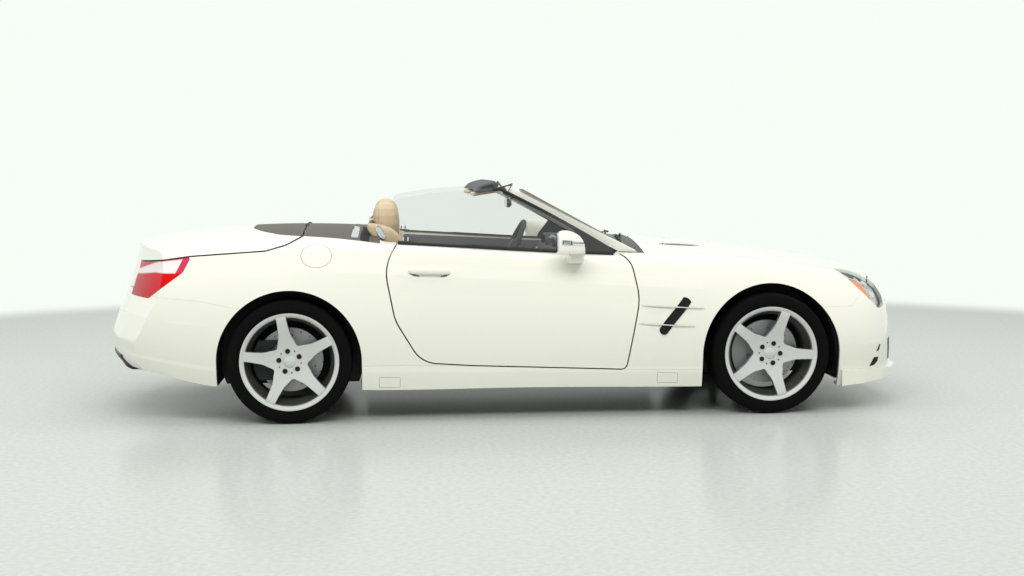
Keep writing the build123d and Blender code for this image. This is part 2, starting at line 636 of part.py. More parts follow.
# ---- cabin --------------------------------------------------------------------------
floor_top = floor_z + sheet
seat_y = 380.0
seat_half = 262.0
cushion_profile = [(-560, floor_top + play, 0), (-560, 330, 30), (-600, 400, 30), (-140, 462, 40),
                   (0, 470, 50), (8, 380, 40), (-30, 300, 20), (-60, floor_top + play, 0)]
back_profile = [(-560, 300, 20), (-500, 420, 30), (-560, 640, 200), (-650, 960, 40), (-716, 950, 30),
                (-722, 700, 100), (-690, 330, 30), (-610, 280, 20)]
head_profile = [(-650, 930, 10), (-600, 1060, 40), (-585, 1160, 30), (-690, 1168, 40), (-708, 1060, 60),
                (-712, 930, 10)]


def slab(corners, y0, y1, rounding):
    """Side-view outline extruded across the car, its long edges rounded."""
    with BuildPart() as piece:
        add(side_prism(corners, y_from=y0, y_to=y1))
        fillet(piece.faces().sort_by(Axis.Y)[-1].edges(), rounding)
        fillet(piece.faces().sort_by(Axis.Y)[0].edges(), rounding)
    return piece.part


seat = merge(slab(cushion_profile, seat_y - seat_half, seat_y + seat_half, 14),
             slab(back_profile, seat_y - seat_half + 12, seat_y + seat_half - 12, 9),
             slab(head_profile, seat_y - 135, seat_y + 135, 9))

dash_profile = [(firewall_x - play, 520, 0), (firewall_x - play, 838, 0), (560, 866, 30), (420, 898, 60),
                (250, 878, 50), (232, 800, 40), (330, 640, 60), (430, 560, 40), (540, 520, 0)]
dash_half = post_y - 30 - play
dashboard = side_prism(dash_profile, y_from=-dash_half, y_to=dash_half)
console_half = 108.0
console_profile = [(-690, floor_top + play, 0), (-690, 520, 30), (-560, 560, 60), (-60, 540, 80),
                   (180, 620, 100), (250, 700, 20), (329, 700, 0), (429, 559, 0), (429, floor_top + play, 0)]
console = slab(console_profile, -console_half, console_half, 12)
console = cut(console, dashboard)

column = Vector(cos(radians(24)), 0, -sin(radians(24)))
wheel_middle = Vector(62, seat_y - 6, 850)
wheel_ring, wheel_grip = 172.0, 15.0
shaft_end = wheel_middle + column * 150
wheel_plane = Plane(origin=wheel_middle, x_dir=(0, 1, 0), z_dir=column)
with BuildPart() as steering:
    with BuildSketch(wheel_plane * Plane.XZ):
        with Locations((wheel_ring, 0)):
            Circle(wheel_grip)
    revolve(axis=Axis(wheel_middle, column), revolution_arc=360)
    with BuildSketch(wheel_plane.offset(2)):
        Circle(72)
        for turn in (0, 180, 270):
            with Locations(Rotation(0, 0, turn)):
                Polygon((0, -20), (wheel_ring - 3, -17), (wheel_ring - 3, 17), (0, 20), align=None)
    extrude(amount=18, both=True)
    with BuildSketch(wheel_plane):
        Circle(18)
    extrude(amount=150)
steering_wheel = steering.part
column_housing = cut(merge(bar(tuple(wheel_middle + column * 60), tuple(wheel_middle + column * 330), 46.0)),
                     bar(tuple(wheel_middle + column * 50), tuple(wheel_middle + column * 150.3), 18 + pin_play))
column_housing = cut(column_housing, dashboard)
dashboard = merge(dashboard, column_housing)

hoop_half = 150.0
hoop_tube = 17.0
hoop_rear, hoop_top = -778.0, 1054.0    # its arch leans back from its feet on the bulkhead
hoop_front, hoop_start = bulkhead_x - 2, bulkhead_top - 10
with BuildPart() as hoop:
    with BuildLine() as path:
        Polyline((hoop_front, seat_y - hoop_half, hoop_start), (hoop_rear, seat_y - hoop_half, hoop_top),
                 (hoop_rear, seat_y + hoop_half, hoop_top), (hoop_front, seat_y + hoop_half, hoop_start))
        fillet(path.vertices().sort_by(Axis.Z)[-2:], 60)
    with BuildSketch(Plane(origin=(hoop_front, seat_y - hoop_half, hoop_start),
                           z_dir=(hoop_rear - hoop_front, 0, hoop_top - hoop_start))):
        Circle(hoop_tube)
    sweep()
hoops = cut(hoop.part, block(-900, -600, 0, 900, 0, bulkhead_top))
hoop_notches = [block(hoop_rear - hoop_tube - 2, cabin_rear + 20, y - hoop_tube - 2, y + hoop_tube + 2, 950, 1100)
                for y in (seat_y - hoop_half, seat_y + hoop_half)]
rear_deck = cut(rear_deck, *hoop_notches)

mirror_plan = [(200, 915, 30), (196, 1040, 40), (318, 1046, 60), (346, 930, 50)]
mirror_low, mirror_high = 884.0, 1016.0
with BuildPart() as mirror_shell:
    with BuildSketch(Plane.XY.offset(mirror_low)):
        add(outline(mirror_plan, Plane.XY).sketch_local)
    extrude(amount=mirror_high - mirror_low)
    fillet(mirror_shell.faces().sort_by(Axis.Z)[-1].edges(), 26)
    fillet(mirror_shell.faces().sort_by(Axis.Z)[0].edges(), 20)
mirror_arm = block(232, 316, 820, 960, 838, 904)
door_mirror = cut(merge(mirror_shell.part, mirror_arm), outer)

write_pair(door, "door")
write_pair(door_glass, "door_glass")
write_pair(front_fender, "front_fender")
write_pair(rear_quarter, "rear_quarter")
write(both(bonnet), "bonnet")
write(both(boot_lid), "boot_lid")
write(both(deck_panel), "deck_panel")
write(both(cowl), "cowl")
write(both(rear_deck), "rear_deck")
write(both(front_bumper), "front_bumper")
write(both(rear_bumper), "rear_bumper")
write(both(sills), "sill_skirts")
write(both(headlamps), "headlamps")
write(both(tail_lamps), "tail_lamps")
write(both(grille), "grille")
write(windscreen_frame, "windscreen_frame")
write(windscreen_glass, "windscreen_glass")
write(both(floor_half), "floor_pan")
for w in wheels:
    write_pair(rim(w), f"rim_{w.end}")
    write_pair(tyre(w), f"tyre_{w.end}")
    write_pair(brake_disc(w), f"brake_disc_{w.end}")
write_pair(knuckle, "knuckle_front")
write(both(front_arm), "front_subframe")
write(both(rear_axle), "rear_axle")
write(engine_block, "engine_block")
write(both(exhaust), "exhaust")
write_pair(seat, "seat")
write(dashboard, "dashboard")
write(console, "centre_console")
write(steering_wheel, "steering_wheel")
write(both(hoops), "roll_hoops")
write_pair(door_mirror, "mirror")
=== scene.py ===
import bpy, bmesh, math
from mathutils import Vector, Matrix
from mathutils.bvhtree import BVHTree


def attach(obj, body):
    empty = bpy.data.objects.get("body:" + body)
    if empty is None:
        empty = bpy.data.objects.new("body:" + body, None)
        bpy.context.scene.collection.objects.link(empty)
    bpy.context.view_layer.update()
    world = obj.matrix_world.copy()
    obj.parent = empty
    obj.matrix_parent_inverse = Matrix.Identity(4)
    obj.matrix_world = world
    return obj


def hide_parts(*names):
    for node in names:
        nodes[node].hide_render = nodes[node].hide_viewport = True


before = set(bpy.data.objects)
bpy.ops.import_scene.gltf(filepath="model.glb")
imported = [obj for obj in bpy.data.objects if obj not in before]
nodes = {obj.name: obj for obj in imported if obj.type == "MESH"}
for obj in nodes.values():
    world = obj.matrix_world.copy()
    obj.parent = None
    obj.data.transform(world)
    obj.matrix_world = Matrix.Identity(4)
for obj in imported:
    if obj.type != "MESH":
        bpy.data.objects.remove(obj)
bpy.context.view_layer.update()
scene = bpy.context.scene
sides = {"left": 1, "right": -1}

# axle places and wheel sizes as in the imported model, turn in degrees
wheels = {
    "front": {"x": 1.375, "y": 0.792, "z": 0.330, "rimW": 0.232, "tyreW": 0.255, "tyreR": 0.330, "turn": -2},
    "rear": {"x": -1.210, "y": 0.782, "z": 0.327, "rimW": 0.258, "tyreW": 0.285, "tyreR": 0.327, "turn": 28},
}


# materials
def shaderOf(mat):
    return mat.node_tree.nodes["Principled BSDF"]


def addNode(mat, kind, **values):
    node = mat.node_tree.nodes.new(kind)
    for key, value in values.items():
        if hasattr(node, key):
            setattr(node, key, value)
        else:
            node.inputs[key.replace("_", " ")].default_value = value
    return node


def link(mat, a, b):
    mat.node_tree.links.new(a, b)


def coords(mat, offset=(0, 0, 0)):
    source = addNode(mat, "ShaderNodeTexCoord")
    mapping = addNode(mat, "ShaderNodeMapping", Location=offset)
    link(mat, source.outputs["Object"], mapping.inputs["Vector"])
    return mapping.outputs["Vector"]


def ranged(mat, value, low, high, start, end, kind="LINEAR"):
    span = addNode(mat, "ShaderNodeMapRange", interpolation_type=kind)
    for socket, number in (("From Min", low), ("From Max", high), ("To Min", start), ("To Max", end)):
        span.inputs[socket].default_value = number
    link(mat, value, span.inputs["Value"])
    return span.outputs["Result"]


def combine(mat, a, b, operation="MULTIPLY"):
    # each of the two is a socket or a number
    node = addNode(mat, "ShaderNodeMath", operation=operation)
    for socket, value in zip(node.inputs, (a, b)):
        if isinstance(value, (int, float)):
            socket.default_value = value
        else:
            link(mat, value, socket)
    return node.outputs[0]


def toneRamp(mat, value, low, high, start=0.0, end=1.0):
    # base colour between two tones
    ramp = addNode(mat, "ShaderNodeValToRGB")
    for stop, tone, place in zip(ramp.color_ramp.elements, (low, high), (start, end)):
        stop.color = (*tone, 1)
        stop.position = place
    link(mat, value, ramp.inputs["Fac"])
    link(mat, ramp.outputs["Color"], shaderOf(mat).inputs["Base Color"])


def relief(mat, height, distance, **values):
    bump = addNode(mat, "ShaderNodeBump", Distance=distance, **values)
    link(mat, height, bump.inputs["Height"])
    link(mat, bump.outputs["Normal"], shaderOf(mat).inputs["Normal"])


def noiseColor(mat, low, high, scale, detail=4):
    tex = addNode(mat, "ShaderNodeTexNoise", Scale=scale, Detail=detail)
    link(mat, coords(mat), tex.inputs["Vector"])
    toneRamp(mat, tex.outputs["Fac"], low, high, 0.35, 0.65)


def noiseBump(mat, scale, distance, kind="ShaderNodeTexNoise", output="Fac"):
    tex = addNode(mat, kind, Scale=scale)
    link(mat, coords(mat), tex.inputs["Vector"])
    relief(mat, tex.outputs[output], distance)


def roughRange(mat, scale, low, high):
    tex = addNode(mat, "ShaderNodeTexNoise", Scale=scale, Detail=5)
    link(mat, coords(mat), tex.inputs["Vector"])
    link(mat, ranged(mat, tex.outputs["Fac"], 0, 1, low, high), shaderOf(mat).inputs["Roughness"])


def material(name, color, rough=0.5, metal=0.0, tones=None, bump=None, cells=None, wear=None, **sockets):
    # tones vary the colour, bump and cells give relief, wear varies the roughness
    mat = bpy.data.materials.new(name)
    mat.use_nodes = True
    shader = shaderOf(mat)
    shader.inputs["Base Color"].default_value = (*color, 1)
    shader.inputs["Roughness"].default_value = rough
    shader.inputs["Metallic"].default_value = metal
    for socket, value in sockets.items():
        shader.inputs[socket.replace("_", " ")].default_value = value
    if tones:
        noiseColor(mat, *tones)
    if bump:
        noiseBump(mat, *bump)
    if cells:
        noiseBump(mat, *cells, "ShaderNodeTexVoronoi", "Distance")
    if wear:
        roughRange(mat, *wear)
    return mat


# pressed lines in the side view: two places (x, z) on the line, reach above and below it, height, kind, ends
pressings = [
    ((-0.988, 0.797), (0.629, 0.707), 0.055, 0.085, 0.0026, "ridge", (-1.20, 1.05)),
    ((-0.829, 0.283), (0.986, 0.251), 0.016, 0.016, 0.0050, "step", (-0.90, 1.05)),
    ((-2.034, 0.374), (-1.593, 0.294), 0.010, 0.011, 0.0040, "step", (-2.20, -1.50)),
    ((-1.852, 0.546), (-1.612, 0.518), 0.018, 0.030, 0.0010, "ridge", (-1.87, -1.60)),
    ((1.905, 0.367), (2.013, 0.381), 0.016, 0.030, 0.0012, "ridge", (1.89, 2.10)),
]
pressFade = 0.08                # how long a pressed line takes to fade out


def splitCoords(mat, offset=(0, 0, 0)):
    split = addNode(mat, "ShaderNodeSeparateXYZ")
    link(mat, coords(mat, offset), split.inputs["Vector"])
    return split


def overLine(mat, split, a, b):
    # height above the line through two side view points
    slope = (b[1] - a[1]) / (b[0] - a[0])
    height = combine(mat, combine(mat, split.outputs["X"], -slope), split.outputs["Z"], "ADD")
    return combine(mat, height, slope * a[0] - a[1], "ADD")


def pressLines(mat):
    split = splitCoords(mat)
    x = split.outputs["X"]
    total = None
    for a, b, above, below, height, kind, (start, end) in pressings:
        d = overLine(mat, split, a, b)
        if kind == "ridge":
            shape = combine(mat, ranged(mat, d, -below, 0, 0, 1), ranged(mat, d, 0, above, 1, 0))
        else:
            shape = ranged(mat, d, -below, above, 1, 0)
        ends = combine(mat, ranged(mat, x, start, start + pressFade, 0, 1, "SMOOTHSTEP"),
                       ranged(mat, x, end - pressFade, end, 1, 0, "SMOOTHSTEP"))
        size = combine(mat, combine(mat, shape, ends), height)
        total = size if total is None else combine(mat, total, size, "ADD")
    relief(mat, total, 1.0)


def paintMaterial(name):
    return material(name, (0.86, 0.855, 0.765), 0.32, Coat_Weight=1.0, Coat_Roughness=0.04,
                    tones=((0.850, 0.845, 0.752), (0.872, 0.867, 0.778), 900, 2))


def glassMaterial(name, color, alpha, rough=0.02):
    # thin glass: a tinted clear share and a glossy skin
    return material(name, color, rough, bump=(3, 0.00005), Alpha=alpha, Coat_Weight=1.0, Coat_Roughness=0.01,
                    Specular_IOR_Level=0.8)


def meshMaterial(name):
    # dark grille mesh: finer ribs in the mesh's own dark grey, with the deep cells between them painted
    # near-black as shade
    mat = material(name, (0.03, 0.03, 0.032), 0.45, 0.3)
    cells = addNode(mat, "ShaderNodeTexVoronoi", feature="DISTANCE_TO_EDGE", Scale=62.0, Randomness=0.25)
    link(mat, coords(mat), cells.inputs["Vector"])
    # ribs dark grey, cells near-black: painted shade in the cells
    toneRamp(mat, cells.outputs["Distance"], (0.075, 0.075, 0.078), (0.004, 0.004, 0.004), 0.10, 0.22)
    relief(mat, cells.outputs["Distance"], 0.004, invert=True)
    return mat


paint = paintMaterial("pearlPaint")
noiseBump(paint, 700, 0.00002)
pressedPaint = paintMaterial("pearlPaintPressed")
pressLines(pressedPaint)
blackTrim = material("blackTrim", (0.012, 0.012, 0.013), 0.4, bump=(900, 0.00008), wear=(30, 0.32, 0.5))
rubber = material("sealRubber", (0.014, 0.014, 0.015), 0.7, bump=(500, 0.0001))
glossBlack = material("glossBlack", (0.01, 0.01, 0.011), 0.12, wear=(12, 0.08, 0.16), Coat_Weight=0.6)
deckDark = material("deckDark", (0.085, 0.072, 0.062), 0.55, bump=(800, 0.00003), Specular_IOR_Level=0.3,
                    tones=((0.078, 0.066, 0.057), (0.095, 0.080, 0.069), 60))
leather = material("beigeLeather", (0.63, 0.50, 0.33), 0.48, cells=(480, 0.0005), Specular_IOR_Level=0.4,
                   tones=((0.60, 0.475, 0.31), (0.66, 0.53, 0.355), 14))
leatherDark = material("darkLeather", (0.03, 0.03, 0.033), 0.5, cells=(480, 0.0005), wear=(20, 0.42, 0.58))
dashSkin = material("dashSkin", (0.035, 0.036, 0.04), 0.55, cells=(380, 0.0004), wear=(8, 0.48, 0.62))
doorUpper = material("doorUpper", (0.085, 0.086, 0.090), 0.6, cells=(480, 0.0005))
speakerMesh = material("speakerMesh", (0.05, 0.05, 0.052), 0.5, 0.4, cells=(420, 0.0012))
pillarCloth = material("pillarCloth", (0.20, 0.185, 0.155), 0.8, bump=(600, 0.0003),
                       tones=((0.18, 0.165, 0.14), (0.22, 0.205, 0.17), 200))
carpet = material("carpet", (0.03, 0.03, 0.032), 0.95, bump=(900, 0.002), Sheen_Weight=0.4,
                  tones=((0.02, 0.02, 0.022), (0.045, 0.045, 0.048), 300))
chrome = material("chrome", (0.82, 0.82, 0.83), 0.08, 1.0, wear=(6, 0.05, 0.12))
satinMetal = material("satinMetal", (0.68, 0.68, 0.69), 0.28, 1.0, wear=(40, 0.22, 0.34))
alloy = material("alloySilver", (0.66, 0.66, 0.65), 0.3, 0.75, bump=(1500, 0.00002), Coat_Weight=0.7,
                 Coat_Roughness=0.08, tones=((0.63, 0.63, 0.62), (0.70, 0.70, 0.69), 1500, 2))
# darker alloy for the rim's inner barrel: painted shade inside the rim
shadedBarrelMat = material("rimBarrel", (0.20, 0.20, 0.20), 0.38, 0.8,
                     tones=((0.18, 0.18, 0.18), (0.23, 0.23, 0.23), 400, 2))
steel = material("steel", (0.5, 0.5, 0.5), 0.35, 1.0, wear=(50, 0.28, 0.45))
castMetal = material("castMetal", (0.33, 0.34, 0.35), 0.6, 0.8, bump=(260, 0.0006))
chassisBlack = material("chassisBlack", (0.012, 0.012, 0.013), 0.65,
                        tones=((0.010, 0.010, 0.011), (0.017, 0.017, 0.018), 25), bump=(160, 0.0005))
# near-black: painted shade standing in for the depth of lug holes, vent openings, bumper slots, the gap
# behind the seats and the dash vents' cups; also the dials' own black face
holeShadeBlack = material("holeShadeBlack", (0.004, 0.004, 0.004), 0.8, bump=(200, 0.0002))
# grey for the painted shadow under the door handle's grip and for the jack covers' seam lines
shadowAndSeamGrey = material("shadowAndSeamGrey", (0.16, 0.16, 0.14), 0.7, bump=(200, 0.0002))
amber = material("amberLens", (0.90, 0.22, 0.03), 0.2, cells=(260, 0.0006), Coat_Weight=0.4)
grilleMesh = meshMaterial("grilleMesh")
sideGlass = glassMaterial("sideGlass", (0.30, 0.34, 0.34), 0.07)
screenGlass = glassMaterial("screenGlass", (0.34, 0.39, 0.38), 0.09)
lampGlass = glassMaterial("lampGlass", (0.62, 0.66, 0.70), 0.10, 0.03)
redLens = material("redLens", (0.55, 0.006, 0.012), 0.3, cells=(180, 0.0003), Coat_Weight=0.08,
                   Coat_Roughness=0.02, Specular_IOR_Level=0.08)


def mixTones(mat, share, low, high):
    # each of the two is a tone or a socket
    node = addNode(mat, "ShaderNodeMix", data_type="RGBA")
    link(mat, share, node.inputs[0])
    for socket, tone in ((node.inputs[6], low), (node.inputs[7], high)):
        if isinstance(tone, tuple):
            socket.default_value = (*tone, 1)
        else:
            link(mat, tone, socket)
    return node.outputs[2]


def lampBands(mat):
    # deep red lens, a paler frame above a level line, and a white field inside that frame
    split = splitCoords(mat)
    soft = 0.004

    def over(a, b):
        return ranged(mat, overLine(mat, split, a, b), -soft, soft, 0, 1)

    def under(a, b):
        return ranged(mat, overLine(mat, split, a, b), -soft, soft, 1, 0)

    level = over((-1.900, 0.797), (-1.787, 0.796))
    upper = combine(mat, over((-2.030, 0.774), (-1.900, 0.797)), level, "MAXIMUM")
    top = combine(mat, upper, under((-1.886, 0.852), (-1.754, 0.866)))
    ends = combine(mat, under((-1.985, 0.815), (-1.886, 0.852)), over((-1.788, 0.797), (-1.754, 0.866)))
    field = combine(mat, top, ends)
    # red lighter towards the front end of the lens
    glow = ranged(mat, split.outputs["X"], -2.03, -1.80, 0, 1)
    deep = mixTones(mat, glow, (0.46, 0.004, 0.020), (0.74, 0.002, 0.004))
    framed = mixTones(mat, upper, deep, (0.60, 0.045, 0.090))
    full = mixTones(mat, field, framed, (0.86, 0.80, 0.80))
    link(mat, full, shaderOf(mat).inputs["Base Color"])


lampBands(redLens)


def discMaterial(name, x, z):
    # turned brake disc with rows of drilled holes about its axle, the holes painted near-black as the shade
    # inside them
    steelTone = (0.34, 0.34, 0.35)
    mat = material(name, steelTone, 0.34, 0.9)
    split = splitCoords(mat, (-x, 0, -z))
    flat = addNode(mat, "ShaderNodeCombineXYZ")
    link(mat, split.outputs["X"], flat.inputs["X"])
    link(mat, split.outputs["Z"], flat.inputs["Y"])
    holes = addNode(mat, "ShaderNodeTexVoronoi", Scale=42.0, Randomness=0.55)
    link(mat, flat.outputs["Vector"], holes.inputs["Vector"])
    solid = combine(mat, holes.outputs["Distance"], 0.16, "GREATER_THAN")
    # near-black in the holes: painted shade
    toneRamp(mat, solid, (0.02, 0.02, 0.02), steelTone)
    rings = addNode(mat, "ShaderNodeTexWave", wave_type="RINGS", rings_direction="SPHERICAL", Scale=160.0)
    link(mat, flat.outputs["Vector"], rings.inputs["Vector"])
    relief(mat, rings.outputs["Fac"], 0.0002)
    return mat


# mesh helpers
def turns(count):
    return [2 * math.pi * k / count for k in range(count)]


def power(value, exponent):
    return math.copysign(abs(value) ** exponent, value)


def ringFaces(rows, n, loop=False):
    # quads between neighbouring rings of n points, and from the last ring to the first if they loop
    faces = []
    for i in range(rows if loop else rows - 1):
        j = (i + 1) % rows
        faces += [(i * n + k, i * n + (k + 1) % n, j * n + (k + 1) % n, j * n + k) for k in range(n)]
    return faces


def gridFaces(rows, n):
    # quads of a sheet given as rows of n points
    return [(a, a + 1, a + n + 1, a + n) for i in range(rows - 1) for a in range(i * n, i * n + n - 1)]


def endFaces(rows, n):
    return [tuple(range(n)), tuple(reversed(range((rows - 1) * n, rows * n)))]


def plate(front, back):
    # flat piece between two copies of an outline
    return front + back, endFaces(2, len(front)) + ringFaces(2, len(front))


def joined(*meshes):
    verts, faces = [], []
    for v, f in meshes:
        base = len(verts)
        verts += v
        faces += [tuple(base + i for i in face) for face in f]
    return verts, faces


def tidyNormals(obj):
    bm = bmesh.new()
    bm.from_mesh(obj.data)
    bmesh.ops.remove_doubles(bm, verts=bm.verts, dist=1e-6)
    bmesh.ops.recalc_face_normals(bm, faces=bm.faces)
    bm.to_mesh(obj.data)
    bm.free()


def looseMesh(name, verts, faces):
    mesh = bpy.data.meshes.new(name)
    mesh.from_pydata([tuple(v) for v in verts], [], faces)
    mesh.validate()
    obj = bpy.data.objects.new(name, mesh)
    scene.collection.objects.link(obj)
    tidyNormals(obj)
    return obj


def dress(obj, mats, body, angle=None, hides=()):
    # materials and shading of a piece, the body it rides on and the nodes it stands for
    mesh = obj.data
    mesh.materials.clear()
    for mat in (mats if isinstance(mats, list) else [mats]):
        mesh.materials.append(mat)
    mesh.shade_smooth()
    if angle is not None:
        mesh.set_sharp_from_angle(angle=math.radians(angle))
    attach(obj, body)
    if hides:
        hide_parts(*hides)
    return obj


def piece(name, verts, faces, mats, body, slot, angle=35, hides=()):
    return dress(looseMesh(name, verts, faces), mats, body, angle, hides)


def thicken(obj, thickness, offset=-1):
    solid = obj.modifiers.new("thick", "SOLIDIFY")
    solid.thickness = thickness
    solid.offset = offset


def lathe(profile, segments, centre=(0, 0, 0), side=1):
    # closed (radius, outward) profile turned about a wheel's axle
    verts = []
    for a in turns(segments):
        for r, o in profile:
            verts.append((centre[0] + r * math.cos(a), centre[1] + side * o, centre[2] + r * math.sin(a)))
    return verts, ringFaces(segments, len(profile), True)


def tube(points, radii, corners=10, flat=1.0, closed=False):
    # round or flattened bar along points, ends closed
    pts = [Vector(p) for p in points]
    count = len(pts)
    if not isinstance(radii, list):
        radii = [radii] * count
    verts = []
    up = None
    for i, p in enumerate(pts):
        if closed:
            tangent = (pts[(i + 1) % count] - pts[i - 1]).normalized()
        else:
            tangent = (pts[min(i + 1, count - 1)] - pts[max(i - 1, 0)]).normalized()
        if up is None:
            up = Vector((0, 0, 1)) if abs(tangent.z) < 0.9 else Vector((0, 1, 0))
        across = tangent.cross(up).normalized()
        up = across.cross(tangent).normalized()
        for a in turns(corners):
            verts.append(p + across * (radii[i] * math.cos(a)) + up * (radii[i] * flat * math.sin(a)))
    faces = ringFaces(count, corners, closed)
    if not closed:
        faces += endFaces(count, corners)
    return verts, faces


def smoothPath(points, steps=8):
    # Catmull-Rom points through the given ones
    pts = [Vector(p) for p in points]
    pts = [pts[0] * 2 - pts[1]] + pts + [pts[-1] * 2 - pts[-2]]
    out = []
    for i in range(1, len(pts) - 2):
        a, b, c, d = pts[i - 1:i + 3]
        for k in range(steps):
            t = k / steps
            out.append(0.5 * ((2 * b) + (c - a) * t + (2 * a - 5 * b + 4 * c - d) * t * t
                              + (3 * b - a - 3 * c + d) * t * t * t))
    out.append(pts[-2])
    return out


def roundedBlock(name, low, high, bevel, mat, body, slot, segments=4, hides=(), turn=None, fill=None):
    # block between two corners with rounded edges, turned about its middle if asked
    low, high = Vector(low), Vector(high)
    bm = bmesh.new()
    bmesh.ops.create_cube(bm, size=1)
    size = high - low
    for v in bm.verts:
        v.co = Vector((v.co.x * size.x, v.co.y * size.y, v.co.z * size.z))
    bmesh.ops.bevel(bm, geom=bm.edges[:], offset=bevel, segments=segments, profile=0.5, affect="EDGES")
    if turn is not None:
        bmesh.ops.transform(bm, matrix=turn, verts=bm.verts)
    for v in bm.verts:
        v.co += (low + high) / 2
    mesh = bpy.data.meshes.new(name)
    bm.to_mesh(mesh)
    bm.free()
    obj = bpy.data.objects.new(name, mesh)
    scene.collection.objects.link(obj)
    return dress(obj, mat, body, 40, hides)


trees = {}


def treeOf(names):
    key = tuple(names)
    if key not in trees:
        verts, polys = [], []
        for name in names:
            mesh = nodes[name].data
            base = len(verts)
            verts += [v.co.copy() for v in mesh.vertices]
            polys += [tuple(base + i for i in p.vertices) for p in mesh.polygons]
        trees[key] = BVHTree.FromPolygons(verts, polys)
    return trees[key]


def hitFrom(names, place, way):
    # point and normal where a ray from outside meets the named CAD nodes
    hit = treeOf(names).ray_cast(Vector(place), Vector(way))
    return (hit[0], hit[1]) if hit[0] else (None, None)


def sideHit(names, x, z, side):
    return hitFrom(names, (x, side * 3, z), (0, -side, 0))


def topHit(names, x, y):
    return hitFrom(names, (x, y, 3), (0, 0, -1))


def endHit(names, y, z, way):
    # way is +1 from ahead, -1 from behind
    return hitFrom(names, (way * 4, y, z), (-way, 0, 0))


def strip(hits, width, lift, depth=0.003):
    # band of the given width laid on a surface through (point, normal) hits
    verts = []
    hits = [h for h in hits if h[0] is not None]
    section = ((-0.5, -depth), (-0.5, lift * 0.6), (-0.3, lift), (0.3, lift), (0.5, lift * 0.6),
               (0.5, -depth))
    for i, (p, n) in enumerate(hits):
        tangent = (hits[min(i + 1, len(hits) - 1)][0] - hits[max(i - 1, 0)][0]).normalized()
        across = n.cross(tangent).normalized()
        w = width(i / max(1, len(hits) - 1)) if callable(width) else width
        verts += [p + across * (a * w) + n * b for a, b in section]
    return verts, ringFaces(len(hits), 6) + endFaces(len(hits), 6)


def closedForm(rings):
    # closed surface through rings of points with a middle point at each end
    n = len(rings[0])
    verts = [p for ring in rings for p in ring]
    faces = ringFaces(len(rings), n)
    for base, flip in ((0, True), ((len(rings) - 1) * n, False)):
        ring = list(range(base, base + n))
        verts.append(tuple(sum((Vector(verts[i]) for i in ring), Vector()) / n))
        c = len(verts) - 1
        for k in range(n):
            pair = (ring[k], ring[(k + 1) % n], c)
            faces.append(pair if flip else tuple(reversed(pair)))
    return verts, faces


def decal(name, outline, look, lift, mat, body, slot):
    # thin closed patch on the surface that look(x, z) finds, with an outline in its two coordinates
    shares = (1.0, 0.75, 0.5, 0.25)
    spacing, depth = 0.012, 0.003
    fine = []
    for i, a in enumerate(outline):
        b = outline[(i + 1) % len(outline)]
        steps = max(2, int(math.dist(a, b) / spacing))
        fine += [(a[0] + (b[0] - a[0]) * k / steps, a[1] + (b[1] - a[1]) * k / steps) for k in range(steps)]
    n = len(fine)
    middle = (sum(p[0] for p in fine) / n, sum(p[1] for p in fine) / n)
    last = next(hit for hit in map(lambda p: look(*p), fine) if hit[0] is not None)
    verts = []
    for share in shares:
        ring = []
        for p in fine:
            hit = look(middle[0] + (p[0] - middle[0]) * share, middle[1] + (p[1] - middle[1]) * share)
            last = hit if hit[0] is not None else last
            ring.append(last)
        if share == 1.0:
            verts += [q - n * depth for q, n in ring]
        verts += [q + n * (lift if share < 1 else lift * 0.5) for q, n in ring]
    rows = len(shares) + 1
    return piece(name, verts, ringFaces(rows, n) + endFaces(rows, n), mat, body, slot)


def sideDecal(name, outline, side, node, lift, mat, body, slot):
    decal(name, outline, lambda x, z: sideHit([node], x, z, sides[side]), lift, mat, body, slot)


def sideRing(names, middle, reach, count, side, depth, tilt=0.0):
    # points of a side view ellipse laid on the named CAD nodes
    ring = []
    for a in turns(count):
        x, z = middle[0] + reach[0] * math.cos(a), middle[1] + reach[1] * math.sin(a) + tilt * math.cos(a)
        p, n = sideHit(names, x, z, side)
        ring.append(p - n * depth)
    return ring


# finishes of the CAD nodes that stay
finishes = [
    (pressedPaint, ["front_fender_left", "front_fender_right", "rear_quarter_left", "rear_quarter_right",
                    "bonnet", "boot_lid", "front_bumper", "rear_bumper", "sill_skirts", "windscreen_frame",
                    "door_left", "door_right"]),
    (deckDark, ["deck_panel", "rear_deck"]),
    (blackTrim, ["cowl"]),
    (grilleMesh, ["grille"]),
    (sideGlass, ["door_glass_left", "door_glass_right"]),
    (screenGlass, ["windscreen_glass"]),
    (lampGlass, ["headlamps"]),
    (redLens, ["tail_lamps"]),
    (chassisBlack, ["floor_pan", "front_subframe", "rear_axle"]),
    (castMetal, ["engine_block", "knuckle_front_left", "knuckle_front_right"]),
    (steel, ["exhaust"]),
    (dashSkin, ["dashboard", "centre_console", "steering_wheel"]),
]
softNodes = ("boot_lid", "rear_bumper", "tail_lamps", "rear_quarter_left", "rear_quarter_right")
sharpAngles = {"soft": 52, "other": 24, "disc": 30}


def finishNode(name, mat, angle):
    mesh = nodes[name].data
    mesh.materials.clear()
    mesh.materials.append(mat)
    mesh.shade_smooth()
    mesh.set_sharp_from_angle(angle=math.radians(angle))


for mat, names in finishes:
    for name in names:
        finishNode(name, mat, sharpAngles["soft" if name in softNodes else "other"])
print("stage: CAD finishes")


